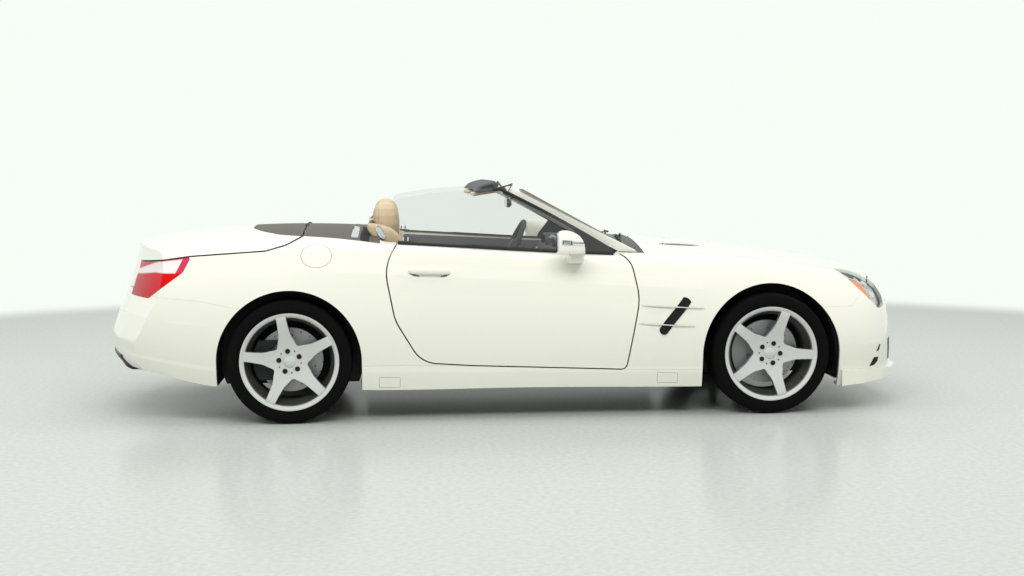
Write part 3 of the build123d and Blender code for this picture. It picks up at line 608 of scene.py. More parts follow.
# road wheels
wheelLook = {
    "segments": 160,            # around tyre and rim
    "spokes": 5,
    # spoke's half width at a radius, from the rim inwards
    "spokeHalf": [(0.2435, 0.0262), (0.215, 0.0265), (0.18, 0.0282), (0.15, 0.0305), (0.128, 0.0345),
                  (0.112, 0.041)],
    "valley": 0.094,            # hub radius between spokes
    "capR": 0.033,
    "spokeDeep": 0.034,
    "lipFace": 0.004,           # spoke faces below the rim's edge at the lip
    "hubFace": 0.030,           # and at the hub
    "hubR": 0.05,
    "dish": 0.19,               # radial run from hub to lip
    "lugRing": 0.056,
    "lugR": 0.0138,
    "pinR": 0.0038,
    "grooves": (-0.62, -0.22, 0.22, 0.62),
    "grooveDeep": 0.007,
    "crown": 0.0035,
    "shoulder": 0.030,
    "shadeRadii": (0.206, 0.230),     # radii between which the barrel is painted darker, as shade inside the rim
}
rubberTone = (0.004, 0.004, 0.004)


def outlineRadius(phi):
    # radius of the star's outline at an angle from its nearest spoke
    table = [(math.atan2(h, r), math.hypot(r, h)) for r, h in wheelLook["spokeHalf"]]
    table.append((math.pi / wheelLook["spokes"], wheelLook["valley"]))
    if phi <= table[0][0]:
        return table[0][1]
    for (a, ra), (b, rb) in zip(table, table[1:]):
        if phi <= b:
            t = (phi - a) / (b - a)
            if b == table[-1][0]:
                t = math.sin(t * math.pi / 2)     # round valley
            return ra + (rb - ra) * t
    return table[-1][1]


def faceOffset(w, r):
    # how far the spokes' face lies outside the wheel's middle plane
    look = wheelLook
    t = min(1, max(0, (r - look["hubR"]) / look["dish"]))
    ease = t * t * (3 - 2 * t)
    return w["rimW"] / 2 - look["hubFace"] + (look["hubFace"] - look["lipFace"]) * ease


def starMesh(w, side):
    # five-spoke star as a polar sheet with walls and a back
    look = wheelLook
    flanks = [math.atan2(h, r) for r, h in look["spokeHalf"]]
    step = 2 * math.pi / look["spokes"]
    offsets = sorted({0.0, flanks[0] * 0.5, flanks[0] * 0.85, *flanks,
                      *[flanks[-1] + (step / 2 - flanks[-1]) * f for f in (0.2, 0.4, 0.6, 0.8)]})
    first = math.radians(w["turn"])
    angles = []
    for k in range(look["spokes"]):
        base = first + k * step
        angles += [base + a for a in offsets] + [base + step / 2]
        angles += [base + step - a for a in reversed(offsets) if a > 0]
    # share of the way out, depth below the face, then share of the spoke's depth
    rows = [(0.0, 0), (0.25, 0), (0.5, 0), (0.72, 0), (0.88, 0), (0.955, 0), (0.985, 0.0012), (1.0, 0.0045),
            (1.0, 0.5), (0.985, 1.0), (0.6, 1.0), (0.0, 1.0)]
    verts = []
    for a in angles:
        reach = outlineRadius(abs((a - first + step / 2) % step - step / 2))
        for share, drop in rows:
            r = look["capR"] + (reach - look["capR"]) * share
            deep = drop if drop < 0.1 else look["spokeDeep"] * drop
            y = side * (w["y"] + faceOffset(w, r) - deep)
            verts.append((w["x"] + r * math.cos(a), y, w["z"] + r * math.sin(a)))
    return verts, ringFaces(len(angles), len(rows), True)


def barrelProfile(h):
    return [(0.2585, h - 0.0015), (0.2572, h), (0.2520, h + 0.0002), (0.2475, h - 0.0012),
            (0.2420, h - 0.004), (0.2345, h - 0.011), (0.2310, h - 0.022), (0.2290, h - 0.046),
            (0.2120, h - 0.076), (0.2075, 0.042 - h), (0.2340, 0.026 - h), (0.2345, 0.012 - h),
            (0.2520, -h), (0.2585, -h), (0.2585, 0.008 - h), (0.2440, 0.014 - h), (0.2410, 0.030 - h),
            (0.2160, 0.044 - h), (0.2160, h - 0.070), (0.2410, h - 0.034), (0.2440, h - 0.014),
            (0.2585, h - 0.008)]


def tyreProfile(h, t, tyreR):
    # carcass outside the bead, with a rim guard, round shoulders and four tread grooves
    look = wheelLook
    points = [(-1.0, 0)]
    for g in look["grooves"]:
        points += [(g - 0.05, 0), (g - 0.04, 1), (g + 0.04, 1), (g + 0.05, 0)]
    points += [(1.0, 0)]
    tread = [(tyreR - look["crown"] * u * u - look["grooveDeep"] * deep, u * (t - look["shoulder"]))
             for u, deep in reversed(points)]
    wall = [(0.2450, h - 0.0145), (0.2590, h - 0.0085), (0.2625, h + 0.002), (0.2655, t - 0.0065),
            (0.2700, t - 0.0025), (0.2720, t - 0.0042), (0.2800, t - 0.0008), (0.2860, t),
            (0.2960, t - 0.0010), (0.2975, t - 0.0018), (tyreR - 0.022, t - 0.0030),
            (tyreR - 0.0135, t - 0.0075), (tyreR - 0.0065, t - 0.0160), (tyreR - 0.0042, t - 0.0250)]
    return wall + tread + [(r, -o) for r, o in reversed(wall)]


def buildWheel(end, side):
    look, w, sign = wheelLook, wheels[end], sides[side]
    tag = f"{end}_{side}"
    body = f"wheel_{tag}"
    centre = (w["x"], sign * w["y"], w["z"])
    h, t = w["rimW"] / 2, w["tyreW"] / 2
    rim = joined(starMesh(w, sign), lathe(barrelProfile(h), look["segments"], centre, sign))
    rimObj = piece(f"rimLook_{tag}", *rim, [alloy, shadedBarrelMat], body, "alloy", 28, [f"rim_{tag}"])
    # barrel faces between those radii take the darker alloy: painted shade
    for poly in rimObj.data.polygons:
        c = poly.center - Vector(centre)
        dark = look["shadeRadii"][0] < math.hypot(c.x, c.z) < look["shadeRadii"][1] and sign * c.y < h - 0.012
        if dark and abs(c.normalized().dot(poly.normal)) > 0.3:
            poly.material_index = 1
    tyreMat = material(f"tyre_{tag}", rubberTone, 0.8, bump=(350, 0.0003), Specular_IOR_Level=0.08)
    tyre = lathe(tyreProfile(h, t, w["tyreR"]), look["segments"], centre, sign)
    piece(f"tyreLook_{tag}", *tyre, tyreMat, body, "tyre", 22, [f"tyre_{tag}"])
    # centre cap, lug recesses with their holes painted as near-black discs of shade, and valve
    capFace = faceOffset(w, 0.04) + 0.004
    cap = [(0.0002, 0), (0.022, -0.0004), (0.0295, -0.0022), (0.0325, -0.0045), (0.0335, -0.012),
           (0.0002, -0.012)]
    piece(f"capLook_{tag}", *lathe([(r, capFace + o) for r, o in cap], 48, centre, sign), satinMetal, body,
          "alloy")
    holes, bolts = [], []
    face = faceOffset(w, look["lugRing"]) + 0.0022
    for k in range(look["spokes"]):
        for turn, radius, ring in ((0, look["lugR"], look["lugRing"]),
                                   (36, look["pinR"], look["lugRing"] + 0.004)):
            a = math.radians(w["turn"] + 72 * k + turn)
            spot = (centre[0] + ring * math.cos(a), centre[1], centre[2] + ring * math.sin(a))
            hole = [(0.0001, face + 0.0003), (radius, face + 0.0003), (radius, face - 0.002),
                    (0.0001, face - 0.002)]
            bolt = [(radius, face + 0.0004), (radius * 1.12, face + 0.0009), (radius * 1.28, face - 0.002),
                    (radius, face - 0.002)]
            holes.append(lathe(hole, 20, spot, sign))
            bolts.append(lathe(bolt, 20, spot, sign))
    # flat near-black discs: painted shade in place of real lug holes
    piece(f"lugHoles_{tag}", *joined(*holes), holeShadeBlack, body, "alloy")
    piece(f"lugRims_{tag}", *joined(*bolts), alloy, body, "alloy")
    a = math.radians(w["turn"] - 36 * sign + 72 * 4)
    stem = []
    for r in (0.238, 0.225, 0.212):
        out = h - 0.03 + (0.236 - r) * 0.6
        stem.append((centre[0] + r * math.cos(a), centre[1] + sign * out, centre[2] + r * math.sin(a)))
    piece(f"valve_{tag}", *tube(stem, [0.0042, 0.0036, 0.0042], 10), rubber, body, "tyre")
    finishNode(f"brake_disc_{tag}", discMaterial(f"disc_{tag}", w["x"], w["z"]), sharpAngles["disc"])


for end in wheels:
    for side in sides:
        buildWheel(end, side)
print("stage: wheels")


# stage, light and camera
stageLook = {
    "floor": (0.555, 0.585, 0.557),
    "wall": (0.925, 0.985, 0.92),
    "skyTone": (0.97, 1.0, 0.98),
    "sky": 0.30,                # level of the even light from all round
    "edge": (6.3, 7.4),         # where the floor runs out into the wall's colour
    "rings": (1, 2, 3, 4, 5, 6, 6.5, 7, 7.5, 8, 12, 40),
    "corners": 96,
}
# name, place, target, size, power, tone
lamps = [
    ("overhead", (0, -0.3, 5.6), (0, 0, 0), (8, 4.5), 135, (1, 1, 0.985)),
    ("nearSide", (-0.6, -7.0, 6.2), (0, 0, 0.5), (9, 3), 500, (1, 0.995, 0.96)),
    ("farSide", (-0.6, 7.0, 6.2), (0, 0, 0.5), (9, 3), 220, (1, 0.995, 0.97)),
    ("tailSide", (-7.2, -1, 4.6), (-1.5, 0, 0.5), (4, 3), 130, (1, 1, 1)),
    ("noseSide", (7.2, -1, 4.6), (1.5, 0, 0.5), (4, 3), 130, (1, 1, 1)),
]
cameraLook = {"place": (-0.678, -9.125, 1.3686), "yaw": 7.63, "pitch": 4.61, "lens": 54.6, "shiftX": -0.0844}


def wallShare(mat, soft):
    # share of the wall's colour where a camera, glossy or clear ray meets the surface
    path = addNode(mat, "ShaderNodeLightPath")
    seen = combine(mat, path.outputs["Is Camera Ray"], path.outputs["Is Glossy Ray"], "MAXIMUM")
    return combine(mat, combine(mat, seen, path.outputs["Is Transmission Ray"], "MAXIMUM"), soft)


def floorMaterial():
    mat = material("studioFloor", stageLook["floor"], 0.18, Specular_IOR_Level=0.02)
    where = coords(mat)
    grain = addNode(mat, "ShaderNodeTexNoise", Scale=38.0, Detail=4)
    link(mat, where, grain.inputs["Vector"])
    tone = addNode(mat, "ShaderNodeVectorMath", operation="SCALE")
    tone.inputs[0].default_value = stageLook["floor"]
    link(mat, ranged(mat, grain.outputs["Fac"], 0.35, 0.65, 0.93, 1.04), tone.inputs["Scale"])
    link(mat, tone.outputs["Vector"], shaderOf(mat).inputs["Base Color"])
    far = addNode(mat, "ShaderNodeVectorMath", operation="LENGTH")
    link(mat, where, far.inputs[0])
    fade = ranged(mat, far.outputs["Value"], *stageLook["edge"], 0, 1, "SMOOTHSTEP")
    glow = addNode(mat, "ShaderNodeEmission", Color=(*stageLook["wall"], 1))
    mix = addNode(mat, "ShaderNodeMixShader")
    link(mat, wallShare(mat, fade), mix.inputs["Fac"])
    link(mat, shaderOf(mat).outputs[0], mix.inputs[1])
    link(mat, glow.outputs[0], mix.inputs[2])
    out = next(node for node in mat.node_tree.nodes if node.type == "OUTPUT_MATERIAL")
    link(mat, mix.outputs[0], out.inputs["Surface"])
    return mat


def buildStage():
    n = stageLook["corners"]
    verts = [(0, 0, 0)] + [(r * math.cos(a), r * math.sin(a), 0) for r in stageLook["rings"]
                           for a in turns(n)]
    faces = [(0, 1 + k, 1 + (k + 1) % n) for k in range(n)]
    for i in range(len(stageLook["rings"]) - 1):
        a, b = 1 + i * n, 1 + (i + 1) * n
        faces += [(a + k, b + k, b + (k + 1) % n, a + (k + 1) % n) for k in range(n)]
    mesh = bpy.data.meshes.new("studioFloor")
    mesh.from_pydata(verts, [], faces)
    mesh.materials.append(floorMaterial())
    floor = bpy.data.objects.new("studioFloor", mesh)
    scene.collection.objects.link(floor)


def areaLight(name, place, target, size, energy, tone):
    data = bpy.data.lights.new(name, "AREA")
    data.shape = "RECTANGLE"
    data.size, data.size_y = size
    data.energy = energy
    data.color = tone
    lamp = bpy.data.objects.new(name, data)
    lamp.location = place
    lamp.rotation_euler = (Vector(target) - Vector(place)).to_track_quat("-Z", "Y").to_euler()
    lamp.visible_glossy = False
    scene.collection.objects.link(lamp)


def buildWorld():
    world = bpy.data.worlds.new("studioWorld")
    scene.world = world
    world.use_nodes = True
    tree = world.node_tree
    sky = tree.nodes["Background"]
    sky.inputs["Color"].default_value = (*stageLook["skyTone"], 1)
    sky.inputs["Strength"].default_value = stageLook["sky"]
    wall = addNode(world, "ShaderNodeBackground", Color=(*stageLook["wall"], 1))
    mix = addNode(world, "ShaderNodeMixShader")
    link(world, wallShare(world, 1.0), mix.inputs["Fac"])
    link(world, sky.outputs[0], mix.inputs[1])
    link(world, wall.outputs[0], mix.inputs[2])
    link(world, mix.outputs[0], tree.nodes["World Output"].inputs["Surface"])


def buildCamera():
    data = bpy.data.cameras.new("photoCamera")
    data.sensor_width = 36
    data.lens = cameraLook["lens"]
    data.shift_x = cameraLook["shiftX"]
    data.clip_end = 100
    cam = bpy.data.objects.new("photoCamera", data)
    cam.location = cameraLook["place"]
    cam.rotation_euler = (math.radians(90 - cameraLook["pitch"]), 0, math.radians(-cameraLook["yaw"]))
    scene.collection.objects.link(cam)
    scene.camera = cam


buildStage()
buildWorld()
for lamp in lamps:
    areaLight(*lamp)
buildCamera()
scene.view_settings.view_transform = "Standard"
print("stage: stage, light, camera")


# trim along the glass and the belt
beltLook = {"rear": -0.640, "front": 0.520, "width": 0.020, "lift": 0.013, "outerY": 0.786, "innerY": 0.762}
sealLook = {
    "foot": (0.536, 0.744, 0.884),
    "head": (-0.085, 0.662, 1.226),
    "end": (-0.125, 0.656, 1.222),
    "bow": 0.010,
    "radius": 0.013,
}
# side view of the dark panel in the window's front corner, (x, z), on a leaning plane
cornerLook = {
    "outline": [(0.520, 0.881), (0.245, 0.889), (0.258, 0.922), (0.326, 1.014), (0.400, 0.975),
                (0.516, 0.896)],
    "y": 0.772,
    "z": 0.890,
    "lean": (0.662 - 0.772) / (1.215 - 0.890),
    "lifts": (0.0055, 0.0095),
}


def buildBelt(side):
    b, sign, door = beltLook, sides[side], f"door_{side}"
    for name, y in (("beltOuter", b["outerY"]), ("beltInner", b["innerY"])):
        hits = [topHit([door], b["rear"] + (b["front"] - b["rear"]) * k / 60, sign * y) for k in range(61)]
        piece(f"{name}_{side}", *strip(hits, b["width"], b["lift"]), rubber, door, "black_trim")


def buildPillarSeal(side):
    s, c, sign = sealLook, cornerLook, sides[side]
    foot, head = Vector(s["foot"]), Vector(s["head"])
    path = []
    for t in [k / 24 for k in range(25)]:
        p = foot.lerp(head, t)
        path.append((p.x, sign * p.y, p.z + s["bow"] * math.sin(math.pi * t)))
    path.append((s["end"][0], sign * s["end"][1], s["end"][2]))
    piece(f"pillarSeal_{side}", *tube(path, s["radius"], 12, 0.7), rubber, "chassis", "black_trim")
    faces = [[(x, sign * (c["y"] + c["lean"] * (z - c["z"]) + lift), z) for x, z in c["outline"]]
             for lift in c["lifts"]]
    piece(f"mirrorCorner_{side}", *plate(*faces), glossBlack, f"door_{side}", "black_trim")


mirrorLook = {
    # rings of the cap from its flat foot up: z, rear x, front x, inner y, outer y
    "cap": [(0.8880, 0.198, 0.334, 0.928, 1.026), (0.8895, 0.194, 0.338, 0.921, 1.033),
            (0.895, 0.192, 0.341, 0.916, 1.038), (0.915, 0.1915, 0.341, 0.914, 1.040),
            (0.940, 0.1915, 0.337, 0.914, 1.040), (0.962, 0.192, 0.328, 0.916, 1.037),
            (0.980, 0.193, 0.315, 0.920, 1.031), (0.993, 0.196, 0.299, 0.926, 1.022),
            (1.003, 0.201, 0.280, 0.935, 1.011), (1.009, 0.209, 0.262, 0.947, 0.999),
            (1.012, 0.222, 0.245, 0.962, 0.986)],
    # rings of the foot outside the door's skin: y, rear x, front x, lower z, upper z
    "arm": [(0.950, 0.262, 0.340, 0.838, 0.890), (0.985, 0.266, 0.337, 0.850, 0.894),
            (0.996, 0.272, 0.331, 0.862, 0.892)],
    # and near it, with y measured from the skin
    "root": [(-0.012, 0.252, 0.348, 0.824, 0.866), (0.010, 0.256, 0.345, 0.826, 0.870),
             (0.060, 0.260, 0.342, 0.832, 0.882)],
    "skin": (0.30, 0.850),
    "lamp": (0.2115, 0.9520, 0.116, -0.006),        # start x and z, run along x and z
    "glass": (0.1935, 0.977, 0.945, 0.054, 0.047),  # x, y, z, half width, half height
}


def squareRing(a, rear=0.22, front=0.5, tall=0.5):
    c = math.cos(a)
    return power(c, front if c > 0 else rear), power(math.sin(a), tall)


def buildMirror(side):
    m, sign, body = mirrorLook, sides[side], f"door_{side}"
    rings = []
    for z, x0, x1, y0, y1 in m["cap"]:
        ring = [squareRing(a) for a in turns(56)]
        rings.append([((x0 + x1) / 2 + u * (x1 - x0) / 2, sign * ((y0 + y1) / 2 + v * (y1 - y0) / 2), z)
                      for u, v in ring])
    cap = closedForm(rings)
    piece(f"mirrorShell_{side}", *cap, paint, body, "paint", 50, [f"mirror_{side}"])
    # lamp strip along the outer face: a dark rear half, a bright front half with a dark line
    tree = BVHTree.FromPolygons([Vector(v) for v in cap[0]], cap[1])
    x0, z0, runX, runZ = m["lamp"]
    hits = [tree.ray_cast(Vector((x0 + runX * k / 24, sign * 1.3, z0 + runZ * k / 24)),
                          Vector((0, -sign, 0)))[:2]
            for k in range(25)]
    piece(f"mirrorLamp_{side}", *strip(hits, 0.025, 0.0014), chrome, body, "chrome")
    piece(f"mirrorLampDark_{side}", *strip(hits[1:13], 0.023, 0.0022), blackTrim, body, "black_trim")
    piece(f"mirrorLampLine_{side}", *strip(hits[12:25], 0.0060, 0.0024), blackTrim, body, "black_trim")
    # foot block on the door that carries the cap
    near = abs(sideHit([body], *m["skin"], sign)[0].y)
    rings = []
    for y, x0, x1, z0, z1 in [(near + y, *rest) for y, *rest in m["root"]] + m["arm"]:
        ring = [squareRing(a, 0.45, 0.45) for a in turns(40)]
        rings.append([((x0 + x1) / 2 + u * (x1 - x0) / 2, sign * y, (z0 + z1) / 2 + v * (z1 - z0) / 2)
                      for u, v in ring])
    piece(f"mirrorArm_{side}", *closedForm(rings), paint, body, "paint", 50)
    x, y, z, wide, tall = m["glass"]
    ring = [squareRing(a, 0.5, 0.5) for a in turns(40)]
    faces = [[(x + dx, sign * (y + u * wide), z + v * tall) for u, v in ring] for dx in (-0.0028, 0.002)]
    piece(f"mirrorGlass_{side}", *plate(*faces), chrome, body, "chrome")


handleLook = {
    "x": -0.477, "z": 0.7935, "half": 0.112, "stand": 0.024, "fall": 0.0035,
    "thick": 0.0078, "thin": 0.0022, "tall": 1.75,
    # painted shadow in the pockets where the grip meets the skin
    "pockets": {"Rear": [(-0.586, 0.786), (-0.556, 0.771), (-0.528, 0.768), (-0.530, 0.775),
                         (-0.556, 0.782)],
                "Front": [(-0.418, 0.764), (-0.386, 0.768), (-0.364, 0.783), (-0.388, 0.779),
                          (-0.416, 0.771)]},
    "cup": ((-0.480, 0.812), (0.094, 0.026), -0.006),   # middle, reach and tilt of the dished cup above it
}


def buildHandle(side):
    h, sign, door = handleLook, sides[side], f"door_{side}"
    path, radii = [], []
    for t in [-1 + 2 * k / 32 for k in range(33)]:
        p, n = sideHit([door], h["x"] + h["half"] * t, h["z"] - h["fall"] * t, sign)
        path.append(p + n * (h["stand"] * (1 - abs(t) ** 5) - 0.004))
        radii.append(h["thick"] * (1 - abs(t) ** 6) ** 0.5 + h["thin"])
    piece(f"handle_{side}", *tube(path, radii, 18, h["tall"]), paint, door, "paint")
    line = [p + Vector((0, sign * 0.0072, -0.002)) for p in path[6:27]]
    piece(f"handleLine_{side}", *tube(line, 0.0011, 8), satinMetal, door, "chrome")
    # grey decals: painted shadow where the grip meets the skin
    for tag, outline in h["pockets"].items():
        sideDecal(f"handlePocket{tag}_{side}", outline, side, door, 0.0008, shadowAndSeamGrey, door, "black_trim")
    middle, reach, tilt = h["cup"]
    ring = sideRing([door], middle, reach, 48, sign, 0.0001, tilt)
    piece(f"handleCupRim_{side}", *tube(ring, 0.0011, 8, 0.5, True), paint, door, "paint")


ventLook = {
    "slot": [(0.762, 0.447), (0.800, 0.500), (0.852, 0.562), (0.893, 0.612), (0.913, 0.640)],
    "half": 0.027,
    "roundEnd": 0.10,           # share of its length over which an end rounds off
    "rim": 0.0035,
    "fins": [((0.655, 0.603), (1.002, 0.584)), ((0.642, 0.507), (0.948, 0.489))],
}


def ventWidth(t):
    end = min(t, 1 - t) / ventLook["roundEnd"]
    return 2 * ventLook["half"] * min(1, math.sqrt(max(0.02, 1 - (1 - min(1, end)) ** 2)))


def buildSideVent(side):
    sign, fender = sides[side], f"front_fender_{side}"
    pts = smoothPath([(x, 0, z) for x, z in ventLook["slot"]])
    hits = [sideHit([fender], p.x, p.z, sign) for p in pts]
    # near-black strip along the slot: painted shade in the vent's opening
    piece(f"ventDark_{side}", *strip(hits, ventWidth, 0.0012), holeShadeBlack, "chassis", "black_trim")
    edges = {1: [], -1: []}
    last = len(hits) - 1
    for i, (p, n) in enumerate(hits):
        across = n.cross((hits[min(i + 1, last)][0] - hits[max(i - 1, 0)][0]).normalized())
        for way, edge in edges.items():
            edge.append(p + across * (way * ventWidth(i / last) / 2) + n * 0.001)
    rim = edges[1] + edges[-1][::-1]
    piece(f"ventRim_{side}", *tube(rim, ventLook["rim"], 8, 0.6, True), paint, "chassis", "paint")
    for i, (a, b) in enumerate(ventLook["fins"]):
        path, radii = [], []
        for t in [k / 32 for k in range(33)]:
            p, n = sideHit([fender], a[0] + (b[0] - a[0]) * t, a[1] + (b[1] - a[1]) * t, sign)
            path.append(p + n * (0.001 + 0.007 * math.sin(math.pi * t) ** 0.6))
            radii.append(0.0015 + 0.0042 * math.sin(math.pi * t) ** 0.5)
        piece(f"ventFin{i}_{side}", *tube(path, radii, 10, 0.8), chrome, "chassis", "chrome")


for side in sides:
    buildBelt(side)
    buildPillarSeal(side)
    buildMirror(side)
    buildHandle(side)
    buildSideVent(side)
flapRing = sideRing(["rear_quarter_right"], (-1.066, 0.880), (0.080, 0.060), 48, -1, 0.0006)
piece("fuelFlapSeam", *tube(flapRing, 0.0012, 8, 1.0, True), rubber, "chassis", "black_trim")
print("stage: side trim")


# windscreen wipers, bonnet vents
screenLook = {"base": (0.646, 0, 0.932), "up": (-0.602, 0, 0.302), "inward": (-0.448, 0, -0.894),
              "sag": 0.052, "half": 0.75}
wipers = {"driver": (0.60, 0.02), "passenger": (-0.02, -0.60)}      # pivot and tip across the car
bonnetVentLook = {"x": 0.835, "y": 0.430, "length": 0.235, "draw": 0.05, "fins": (-0.013, 0.013),
                  "finR": 0.0034}


def screenSag(y):
    return screenLook["sag"] * (y / screenLook["half"]) ** 2


def screenPoint(y, up):
    # point on the windscreen's outer face, up metres along its slope from the base
    s = screenLook
    return (Vector(s["base"]) + Vector(s["up"]).normalized() * up + Vector((0, y, 0))
            + Vector(s["inward"]) * screenSag(y))


def standing(profile, segments, x, y, z):
    # a lathe shape stood upright at a place
    verts, faces = lathe(profile, segments)
    return [(v[0] + x, v[2] + y, v[1] + z) for v in verts], faces


def buildWipers():
    for name, (pivotY, tipY) in wipers.items():
        blade = [screenPoint(pivotY + (tipY - pivotY) * k / 20, 0.020 + 0.030 * (k / 20))
                 + Vector((0.004, 0, 0.0075))
                 for k in range(3, 21)]
        radii = [0.003] + [0.0062] * 16 + [0.003]
        piece(f"wiperBlade_{name}", *tube(blade, radii, 8, 0.9), rubber, "chassis", "black_trim")
        root = Vector((0.668, pivotY + 0.02, 0.930 - screenSag(pivotY)))
        mid = blade[7] + Vector((0.010, 0, 0.010))
        arm = smoothPath([root, root.lerp(mid, 0.4) + Vector((0.004, 0, 0.016)), mid])
        radii = [0.0105] * 4 + [0.006] * (len(arm) - 4)
        piece(f"wiperArm_{name}", *tube(arm, radii, 10, 0.6), blackTrim, "chassis", "black_trim")
        hub = [(0.0001, 0.0), (0.013, 0.0), (0.016, -0.004), (0.016, -0.020), (0.0001, -0.020)]
        piece(f"wiperHub_{name}", *standing(hub, 24, root.x, root.y, root.z + 0.010), blackTrim, "chassis",
              "black_trim")


def buildBonnetVents():
    b = bonnetVentLook

    def along(sign, t, shift=0.0):
        return topHit(["bonnet"], b["x"] + b["length"] * t, sign * (b["y"] - b["draw"] * t) + shift)

    def width(t):
        return 0.006 + 0.046 * math.sin(math.pi * min(1, t * 1.02)) ** 0.6

    for tag, sign in (("R", -1), ("L", 1)):
        hits = [along(sign, k / 24) for k in range(25)]
        # near-black strip: painted shade in the bonnet vent's opening
        piece(f"bonnetVentDark_{tag}", *strip(hits, width, 0.0012), holeShadeBlack, "bonnet", "black_trim")
        for j, shift in enumerate(b["fins"]):
            fin = [p + n * 0.0025 for p, n in (along(sign, k / 24, shift) for k in range(2, 23))]
            piece(f"bonnetVentFin{j}_{tag}", *tube(fin, b["finR"], 8, 0.8), satinMetal, "bonnet", "chrome")


buildWipers()
buildBonnetVents()
print("stage: wipers, vents")


# lamps
lampLook = {
    "columns": (1.815, 0.265, 15),      # start and reach along x, count
    "rows": (0.560, 0.220, 11),         # and up z
    "trayDeep": 0.024,
    "eyes": [(2.026, 0.632, 0.030), (1.985, 0.700, 0.027)],     # x, z, radius
    "eyeDeep": 0.032,
    "eyeWay": (0.85, 0.5, 0.1),
    "amberDeep": 0.011,
    "amber": [(1.836, 0.728), (1.863, 0.726), (1.900, 0.713), (1.930, 0.697), (1.960, 0.659), (1.982, 0.620),
              (1.992, 0.588), (1.978, 0.590), (1.942, 0.615), (1.892, 0.656), (1.847, 0.704)],
}


def buildHeadlamp(side):
    look, sign = lampLook, sides[side]

    def inside(x, z, deep):
        p, n = sideHit(["headlamps"], x, z, sign)
        return (p - n * deep, n) if p is not None else (None, None)

    # reflector tray that follows the lens, with two eyes
    x0, runX, cols = look["columns"]
    z0, runZ, rows = look["rows"]
    index, verts, faces = {}, [], []
    for i in range(cols):
        for k in range(rows):
            p = inside(x0 + runX * i / (cols - 1), z0 + runZ * k / (rows - 1), look["trayDeep"])[0]
            if p is not None:
                index[(i, k)] = len(verts)
                verts.append(p)
    for i in range(cols - 1):
        for k in range(rows - 1):
            quad = [(i, k), (i + 1, k), (i + 1, k + 1), (i, k + 1)]
            if all(q in index for q in quad):
                faces.append(tuple(index[q] for q in quad))
    thicken(piece(f"lampTray_{side}", verts, faces, satinMetal, "chassis", "lamp_clear"), 0.002)
    for j, (x, z, r) in enumerate(look["eyes"]):
        c = inside(x, z, look["eyeDeep"])[0]
        profile = [(0.0001, 0.022), (r * 0.5, 0.019), (r * 0.82, 0.010), (r * 0.9, 0), (r, 0.004),
                   (r * 1.12, 0.006), (r * 1.12, -0.004), (0.0001, -0.004)]
        verts, faces = lathe(profile, 40)
        a, b, e = look["eyeWay"]
        turn = Vector((0, 1, 0)).rotation_difference(Vector((a, sign * b, e)).normalized()).to_matrix()
        piece(f"lampEye{j}_{side}", [turn @ Vector(v) + c for v in verts], faces, chrome, "chassis", "chrome")
    # amber side marker in the lower rear corner, bright strip along the top
    decal(f"lampAmber_{side}", look["amber"], lambda x, z: inside(x, z, look["amberDeep"]), 0.001, amber,
          "chassis", "lamp_clear")
    hits = [inside(1.845 + 0.20 * k / 18, 0.742 - 0.075 * (k / 18) ** 1.3, 0.017) for k in range(19)]
    piece(f"lampStrip_{side}", *strip(hits, 0.010, 0.001), chrome, "chassis", "chrome")


for side in sides:
    buildHeadlamp(side)
print("stage: lamps")


# seats
seatLook = {
    "y": 0.380,
    "voxel": 0.0075,
    "headVoxel": 0.0055,
    "pressure": 4.0,
    "cap": 0.024,               # furthest a point moves as the pads swell
    "seamDepth": 0.0055,
    "seamWidth": 0.0055,
    "seamY": 0.128,
    "flutes": 0.058,            # spacing of the cross seams
    "fill": 0.85,
    "foot": (-0.592, 0, 0.355),
    "head": (-0.682, 0, 0.955),
    # along, half width, low, high, bolster height
    "cushion": [(-0.530, 0.175, 0.335, 0.395, 0.004), (-0.505, 0.215, 0.312, 0.412, 0.018),
                (-0.42, 0.232, 0.300, 0.410, 0.036), (-0.28, 0.238, 0.298, 0.412, 0.042),
                (-0.14, 0.238, 0.300, 0.422, 0.036), (-0.04, 0.230, 0.306, 0.434, 0.022),
                (-0.008, 0.200, 0.330, 0.420, 0.008)],
    # up the backrest, half width, thickness behind and ahead of its middle, bolster
    "back": [(0.02, 0.175, 0.035, 0.035, 0.004), (0.05, 0.215, 0.050, 0.045, 0.018),
             (0.16, 0.232, 0.056, 0.048, 0.042), (0.30, 0.238, 0.055, 0.044, 0.046),
             (0.42, 0.232, 0.052, 0.038, 0.036), (0.53, 0.212, 0.045, 0.032, 0.018),
             (0.59, 0.165, 0.036, 0.026, 0.006), (0.612, 0.110, 0.022, 0.016, 0.0)],
    # height, half width, thickness behind and ahead of its middle, that middle's x
    "headrest": [(0.945, 0.088, 0.048, 0.046, -0.692), (0.970, 0.112, 0.064, 0.060, -0.698),
                 (1.03, 0.126, 0.069, 0.066, -0.700), (1.08, 0.128, 0.069, 0.067, -0.702),
                 (1.118, 0.118, 0.062, 0.058, -0.704), (1.142, 0.096, 0.044, 0.040, -0.704),
                 (1.152, 0.060, 0.020, 0.018, -0.704)],
}
# name, two corners with y outwards from the seat's middle, bevel, material, segments
seatBlocks = [
    ("seatBase", (-0.52, -0.205, 0.215), (-0.03, 0.205, 0.318), 0.03, dashSkin, 4),
    ("seatShell", (-0.745, -0.195, 0.42), (-0.722, 0.195, 0.90), 0.010, leather, 4),
    ("seatShield", (-0.55, 0.224, 0.235), (-0.10, 0.248, 0.335), 0.010, dashSkin, 4),
    ("seatSwitch0", (-0.40, 0.242, 0.295), (-0.36, 0.250, 0.308), 0.003, satinMetal, 3),
    ("seatSwitch1", (-0.34, 0.242, 0.295), (-0.30, 0.250, 0.308), 0.003, satinMetal, 3),
    ("seatSwitch2", (-0.28, 0.242, 0.295), (-0.24, 0.250, 0.308), 0.003, satinMetal, 3),
]


